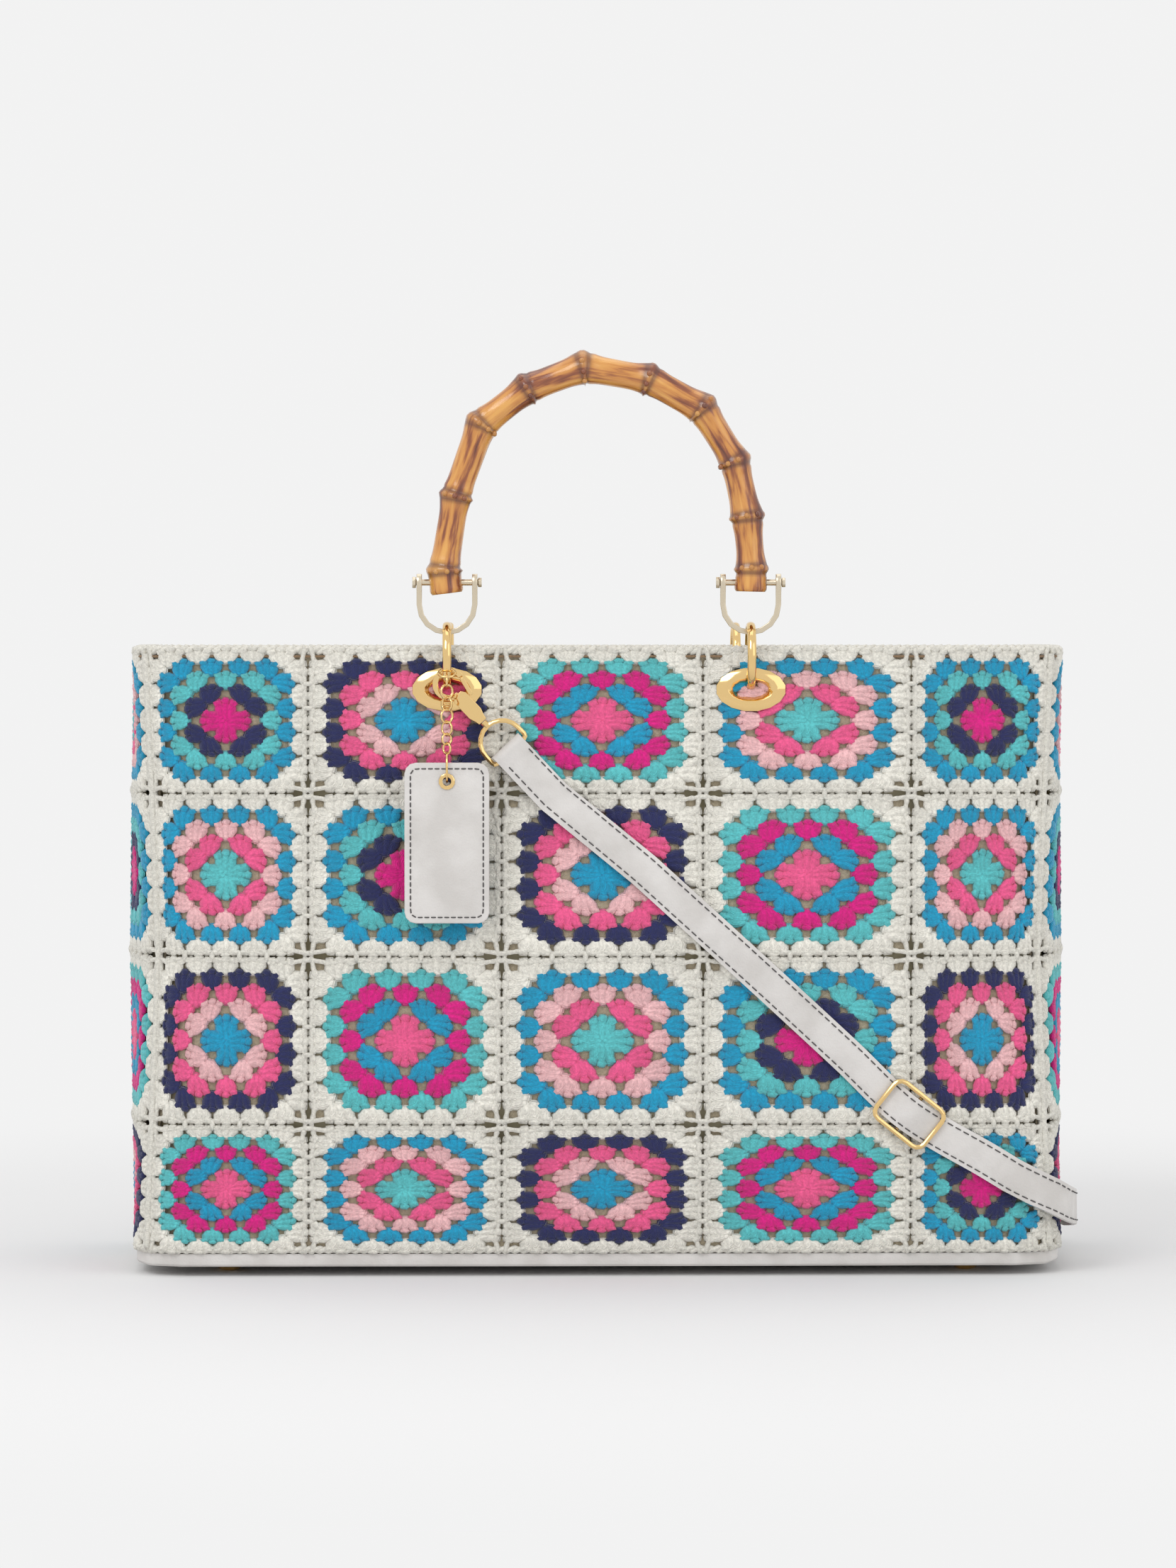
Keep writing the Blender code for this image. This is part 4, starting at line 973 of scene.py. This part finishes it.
RIPPLES = (
    # depth, waves round the cane, length along it
    (0.02, 3, 17.0),
    (0.012, 5, -11.0),
)
NODE_BURN = 0.75
BURN_OFF_NODE = 1.8
BURN_REACH = 1.3
BUD_STRAY = 0.35
BUD_STRAY_RATE = 2.4
BUD_BURN = 0.25
BUD_SINK = 0.35
BUD_RADIUS = 1.25
BUD_TURNS = (-0.75, -0.15, 0.5)


def cane_line():
    """The arch in millimetres from its foot: its points, their lengths along it and the nodes' places along it.
    """
    half = EYELET_SPACING / 2
    corners = [(-half, -HANDLE_END_DROP)] + [(half * x, HANDLE_HEIGHT * z) for x, z in HANDLE_KINKS]
    corners = np.array(corners + [(half, -HANDLE_END_DROP)])
    runs = np.concatenate(((0.0,), np.cumsum(np.linalg.norm(np.diff(corners, axis=0), axis=1))))
    lengths = np.arange(0.0, runs[-1], CANE_STEP)
    line = np.stack([np.interp(lengths, runs, corners[:, c]) for c in (0, 1)], axis=-1)
    eased = line.copy()
    for _ in range(EASING_PASSES):
        eased[1:-1] = (eased[:-2] + 2 * eased[1:-1] + eased[2:]) / 4
    return eased, lengths, runs[1:-1]


def cane_radius(lengths, places):
    """The cane's radius along its length, with each node's swelling, lip and groove."""
    radius = np.full(len(lengths), CANE_RADIUS)
    for place in places:
        for height, off, reach in NODE_FORMS:
            radius += height * np.exp(-((lengths - place - off) / reach) ** 2)
    ends = np.minimum(lengths, lengths[-1] - lengths)
    radius += END_SWELL * np.exp(-(ends / END_SWELL_REACH) ** 2)
    radius *= 1 + WAVER * np.sin(lengths / WAVER_LENGTH)
    return radius - END_ROUNDING * np.clip(1 - ends / END_ROUNDING_REACH, 0, 1) ** 2


def lay_buds(path, radius, places):
    """Each bud's points, and its place round and along the cane."""
    for number, place in enumerate(places):
        index = int(place / CANE_STEP)
        along = path[index + 1] - path[index - 1]
        along /= np.linalg.norm(along)
        across = np.cross(along, (0.0, 1.0, 0.0))
        for turn in BUD_TURNS:
            angle = turn + BUD_STRAY * math.sin(number * BUD_STRAY_RATE)
            for facing in (-1, 1):
                out = across * math.sin(angle) + np.array((0.0, facing * math.cos(angle), 0.0))
                centre = path[index] + out * (radius[index] - BUD_SINK * MM)
                round_place = (math.cos(angle), facing * math.sin(angle), place)
                yield centre + BUD_POINTS * BUD_RADIUS * MM, np.tile(round_place, (len(BUD_POINTS), 1))


def make_handle(name, foot, upright, body, node):
    """A handle on its foot, upright where that is 1 and hanging where it is -1."""
    line, lengths, places = cane_line()
    path = np.stack((line[:, 0], np.zeros(len(line)), line[:, 1] * upright), axis=-1) * MM + foot
    radius = cane_radius(lengths, places) * MM
    points, faces, uvs = tube(path, radius, CANE_SIDES, helper=(0.0, 1.0, 0.0))
    angles = np.tile(np.arange(CANE_SIDES) * 2 * math.pi / CANE_SIDES, len(path))
    run = np.repeat(lengths, CANE_SIDES)
    centres = np.repeat(path, CANE_SIDES, axis=0)
    ripple = 1 + sum(depth * np.sin(waves * angles + run / length) for depth, waves, length in RIPPLES)
    points = centres + (points - centres) * ripple[:, None]
    cane = np.stack((np.cos(angles), np.sin(angles), run), axis=-1)
    node_near = np.min(np.abs(run[:, None] - places), axis=1)
    burn = NODE_BURN * np.exp(-((node_near - BURN_OFF_NODE) / BURN_REACH) ** 2)
    parts_points, parts_faces, parts_cane, parts_burn = [points], list(faces), [cane], [burn]
    start = len(points)
    for bud, round_cane in lay_buds(path, radius, places):
        parts_points.append(bud)
        parts_faces += [tuple(start + i for i in face) for face in BUD_FACES]
        parts_cane.append(round_cane)
        parts_burn.append(np.full(len(bud), BUD_BURN))
        start += len(bud)
    handle = make_piece(name, np.concatenate(parts_points), parts_faces, BAMBOO, body)
    layer = handle.data.attributes.new("Cane", "FLOAT_VECTOR", "POINT")
    layer.data.foreach_set("vector", np.concatenate(parts_cane).astype(np.float32).ravel())
    layer = handle.data.attributes.new("Burn", "FLOAT", "POINT")
    layer.data.foreach_set("value", np.concatenate(parts_burn).astype(np.float32))
    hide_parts(node)
    print(name, "faces:", len(parts_faces))


def model_bud():
    """A small ball for the buds on the cane's nodes."""
    bpy.ops.mesh.primitive_uv_sphere_add(segments=10, ring_count=7, radius=1.0, location=(0.0, 0.0, 0.0))
    bud = bpy.context.object
    points = np.array([v.co for v in bud.data.vertices])
    faces = [tuple(p.vertices) for p in bud.data.polygons]
    bpy.data.objects.remove(bud)
    return points, faces


def joint_place(name):
    """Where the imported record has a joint, in metres."""
    return np.array(next(joint["pos_m"] for joint in frame["joints"] if joint["name"] == name))


BUD_POINTS, BUD_FACES = model_bud()
make_handle("bamboo_front", joint_place("front_handle_swing"), 1, "front_handle", "handle_front")
make_handle("bamboo_rear", joint_place("rear_handle_swing"), -1, "rear_handle", "handle_rear")

# %% [markdown]
# ## Stitching on the leather
# The strap is sewn along both edges and the tag round its border, in dark grey thread on white leather.
# Each stitch is a short thread that lies on the leather, found by casting a ray onto the piece, so it
# sits on the real surface whatever the strap's route does.

# %% Lay the stitches
THREAD_RADIUS = 0.33
STITCH_LENGTH = 2.7
STITCH_PITCH = 4.1
TAG_STITCH_PITCH = 2.952
THREAD_BOW = 0.30
THREAD_SINK = 0.12
SEAM_START_SHARE = 0.2
SEAM_END_SHARE = 0.5
ROUTE_STEPS = 12
STRAP_WIDTH = 16.0
STRAP_SEAM_INSET = 1.9
STRAP_ROUTE = (
    # along, height, lift
    (20.0, 184.0, 4.0),
    (70.0, 138.5, 3.4),
    (110.0, 101.5, 3.0),
    (139.7, 73.7, 3.0),
    (176.0, 52.0, 4.0),
    (203.0, 36.0, 7.0),
    (222.0, 29.0, 7.6),
    (281.0, 23.0, 4.8),
    (340.0, 26.0, 7.6),
    (359.0, 32.0, 7.6),
    (440.0, 92.0, 3.8),
    (510.0, 150.0, 3.6),
    (570.0, 199.0, 3.8),
)
HOOK_ANGLE = math.radians(46.7)
STRAP_TURN = np.array((-41.4, -96.4, 237.9))
FOLD_PLACES = (4.0, 28.0)
RAY_START = 12.0
TAG_INSET = 2.7
TAG_SEAM_CORNER = 3.0


def smooth_curve(points, steps):
    """A smooth curve through the points."""
    vectors = np.array(points)
    padded = np.concatenate(([2 * vectors[0] - vectors[1]], vectors, [2 * vectors[-1] - vectors[-2]]))
    curve = []
    for a, b, c, d in zip(padded, padded[1:], padded[2:], padded[3:]):
        for t in np.arange(steps) / steps:
            bend = (2 * a - 5 * b + 4 * c - d) * t ** 2 + (3 * b - a - 3 * c + d) * t ** 3
            curve.append(0.5 * (2 * b + (c - a) * t + bend))
    return np.array(curve + [vectors[-1]])


def even_steps(line, pitch):
    """Pairs of points, one pitch apart, for the start and end of each stitch along a line."""
    lengths = np.concatenate(((0.0,), np.cumsum(np.linalg.norm(np.diff(line, axis=0), axis=1))))
    step = lengths[-1] / round(lengths[-1] / pitch)
    starts = np.arange(SEAM_START_SHARE * step, lengths[-1] - SEAM_END_SHARE * step, step)
    ends = starts + STITCH_LENGTH / STITCH_PITCH * step
    places = []
    for at in (starts, ends):
        places.append(np.stack([np.interp(at, lengths, line[:, c]) for c in range(3)], axis=-1))
    return places


def stitch_on(piece, start, end, outward):
    """One thread laid on a piece between two points, or nothing where the piece isn't under it."""
    laid = []
    for share in (0.0, 0.25, 0.5, 0.75, 1.0):
        place = Vector(start + (end - start) * share)
        out = Vector(outward)
        hit, spot, _, _ = piece.ray_cast(place + out * RAY_START * MM, -out, distance=2 * RAY_START * MM)
        if not hit:
            return None
        bow = math.sin(share * math.pi) * THREAD_BOW - THREAD_SINK
        laid.append(np.array(spot + out * bow * MM))
    return tube(np.array(laid), THREAD_RADIUS * MM, 6)


def make_strap_stitches(strap):
    route = smooth_curve(STRAP_ROUTE, ROUTE_STEPS)
    line = wall(*route.T)
    outward = wall(route[:, 0], route[:, 1], route[:, 2] + 1) - line
    outward /= np.linalg.norm(outward, axis=1)[:, None]
    ahead = np.gradient(line, axis=0)
    across = np.cross(ahead, outward)
    across /= np.linalg.norm(across, axis=1)[:, None]
    down = np.array((math.cos(HOOK_ANGLE), 0.0, -math.sin(HOOK_ANGLE)))
    fold = np.array([STRAP_TURN + down * place for place in FOLD_PLACES]) * MM
    line = np.concatenate((fold, line))
    outward = np.concatenate((np.tile((0.0, -1.0, 0.0), (2, 1)), outward))
    across = np.concatenate((np.tile((-math.sin(HOOK_ANGLE), 0.0, -math.cos(HOOK_ANGLE)), (2, 1)), across))
    parts = []
    for side in (-1, 1):
        seam = line + across * side * (STRAP_WIDTH / 2 - STRAP_SEAM_INSET) * MM
        starts, ends = even_steps(seam, STITCH_PITCH * MM)
        for start, end in zip(starts, ends):
            nearest = np.argmin(np.linalg.norm(seam - start, axis=1))
            made = stitch_on(strap, start, end, outward[nearest])
            if made:
                parts.append((*made, STITCH_GREY))
    points, faces, _, _ = gather(parts)
    make_piece("strap_stitches", points, faces, THREAD, "bag")
    print("strap stitches:", len(parts))


def make_tag_stitches(tag):
    low, high = (np.array(corner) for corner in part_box("tag"))
    middle = (low + high) / 2
    half = (high - low) / 2 - TAG_INSET * MM
    corner = TAG_SEAM_CORNER * MM
    outline = []
    for turn, (sx, sz) in enumerate(((1, 1), (-1, 1), (-1, -1), (1, -1))):
        for degrees in range(0, 91, 15):
            angle = math.radians(90 * turn + degrees)
            x = sx * (half[0] - corner) + corner * math.cos(angle)
            z = sz * (half[2] - corner) + corner * math.sin(angle)
            outline.append(middle + np.array((x, 0.0, z)))
    outline.append(outline[0])
    parts = []
    for facing in (-1.0, 1.0):
        starts, ends = even_steps(np.array(outline), TAG_STITCH_PITCH * MM)
        for start, end in zip(starts, ends):
            made = stitch_on(tag, start, end, (0.0, facing, 0.0))
            if made:
                parts.append((*made, STITCH_GREY))
    points, faces, _, _ = gather(parts)
    make_piece("tag_stitches", points, faces, THREAD, "bag")
    print("tag stitches:", len(parts))


bpy.context.view_layer.update()
make_strap_stitches(bpy.data.objects["shoulder_strap_finish"])
make_tag_stitches(bpy.data.objects["tag_finish"])

# %% [markdown]
# ## Light, floor and camera
# The photo is a product shot on an even pale ground with soft light from all round and next to no
# shadow. Big soft area lights and a pale world give that, and the camera looks almost straight on. Away
# from the bag the floor fades to the backdrop's tone, so that no horizon shows.

# %% Floor, world and lights
FLOOR_SIZE = 60.0
FLOOR_FADE_START = 0.40
FLOOR_FADE_END = 0.80
BACKDROP = (0.950, 0.950, 0.950)
LIGHTS = (
    # name, place, size, energy
    ("key", (-1.1, -1.9, 1.9), 1.2, 17.0),
    ("fill", (1.5, -1.7, 1.1), 1.6, 5.0),
    ("top", (0.0, 0.2, 2.2), 1.5, 5.0),
)
PHOTO_SCALE_MM = 0.319
PHOTO_HEIGHT_PX = 2212
SENSOR_MM = 36.0
CAMERA_DISTANCE = 2.5
CAMERA_AIM = Vector((-0.007, -0.093, 0.2225))
CAMERA_AZIMUTH = math.radians(-1.0)
CAMERA_ELEVATION = math.radians(1.6)


def make_floor():
    bpy.ops.mesh.primitive_plane_add(size=FLOOR_SIZE)
    floor = bpy.context.object
    floor.name = "floor"
    material, shader = new_material("floor", FLOOR_GREY, 0.9)
    shader.inputs["Specular IOR Level"].default_value = 0.1
    place = add_node(material, "ShaderNodeTexCoord")
    distance = add_node(material, "ShaderNodeVectorMath")
    distance.operation = "LENGTH"
    join(material, place.outputs["Object"], distance.inputs[0])
    fade = add_node(material, "ShaderNodeMapRange")
    fade.interpolation_type = "SMOOTHSTEP"
    fade.inputs["From Min"].default_value = FLOOR_FADE_START
    fade.inputs["From Max"].default_value = FLOOR_FADE_END
    join(material, distance.outputs["Value"], fade.inputs["Value"])
    glow = add_node(material, "ShaderNodeEmission", Color=linear(BACKDROP), Strength=1.0)
    mix = add_node(material, "ShaderNodeMixShader")
    join(material, fade.outputs["Result"], mix.inputs["Fac"])
    join(material, shader.outputs["BSDF"], mix.inputs[1])
    join(material, glow.outputs["Emission"], mix.inputs[2])
    join(material, mix.outputs["Shader"], material.node_tree.nodes["Material Output"].inputs["Surface"])
    floor.data.materials.append(material)
    floor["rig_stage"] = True


def make_light(name, place, size, energy):
    data = bpy.data.lights.new(name, "AREA")
    data.size = size
    data.energy = energy
    light = bpy.data.objects.new(name, data)
    light.location = place
    light.rotation_euler = (CAMERA_AIM - Vector(place)).to_track_quat("-Z", "Y").to_euler()
    bpy.context.scene.collection.objects.link(light)


def make_camera():
    data = bpy.data.cameras.new("camera")
    data.sensor_fit = "VERTICAL"
    data.sensor_height = SENSOR_MM
    seen_height = PHOTO_HEIGHT_PX * PHOTO_SCALE_MM * MM
    data.lens = SENSOR_MM * CAMERA_DISTANCE / seen_height
    camera = bpy.data.objects.new("camera", data)
    level = math.cos(CAMERA_ELEVATION)
    away = Vector((
        math.sin(CAMERA_AZIMUTH) * level,
        -math.cos(CAMERA_AZIMUTH) * level,
        math.sin(CAMERA_ELEVATION),
    ))
    camera.location = CAMERA_AIM + away * CAMERA_DISTANCE
    camera.rotation_euler = (-away).to_track_quat("-Z", "Y").to_euler()
    bpy.context.scene.collection.objects.link(camera)
    bpy.context.scene.camera = camera
    bpy.context.scene.view_settings.view_transform = "Standard"


def make_world():
    world = bpy.data.worlds.new("studio")
    world.use_nodes = True
    background = world.node_tree.nodes["Background"]
    background.inputs["Color"].default_value = linear(BACKDROP)
    background.inputs["Strength"].default_value = 1.0
    bpy.context.scene.world = world


make_floor()
make_world()
for light in LIGHTS:
    make_light(*light)
make_camera()

# %% Sizes, and the end
visual_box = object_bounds()
boxes = {"cad": cad_box, "visual": visual_box}
{name: [list(corner) for corner in box] for name, box in boxes.items()}
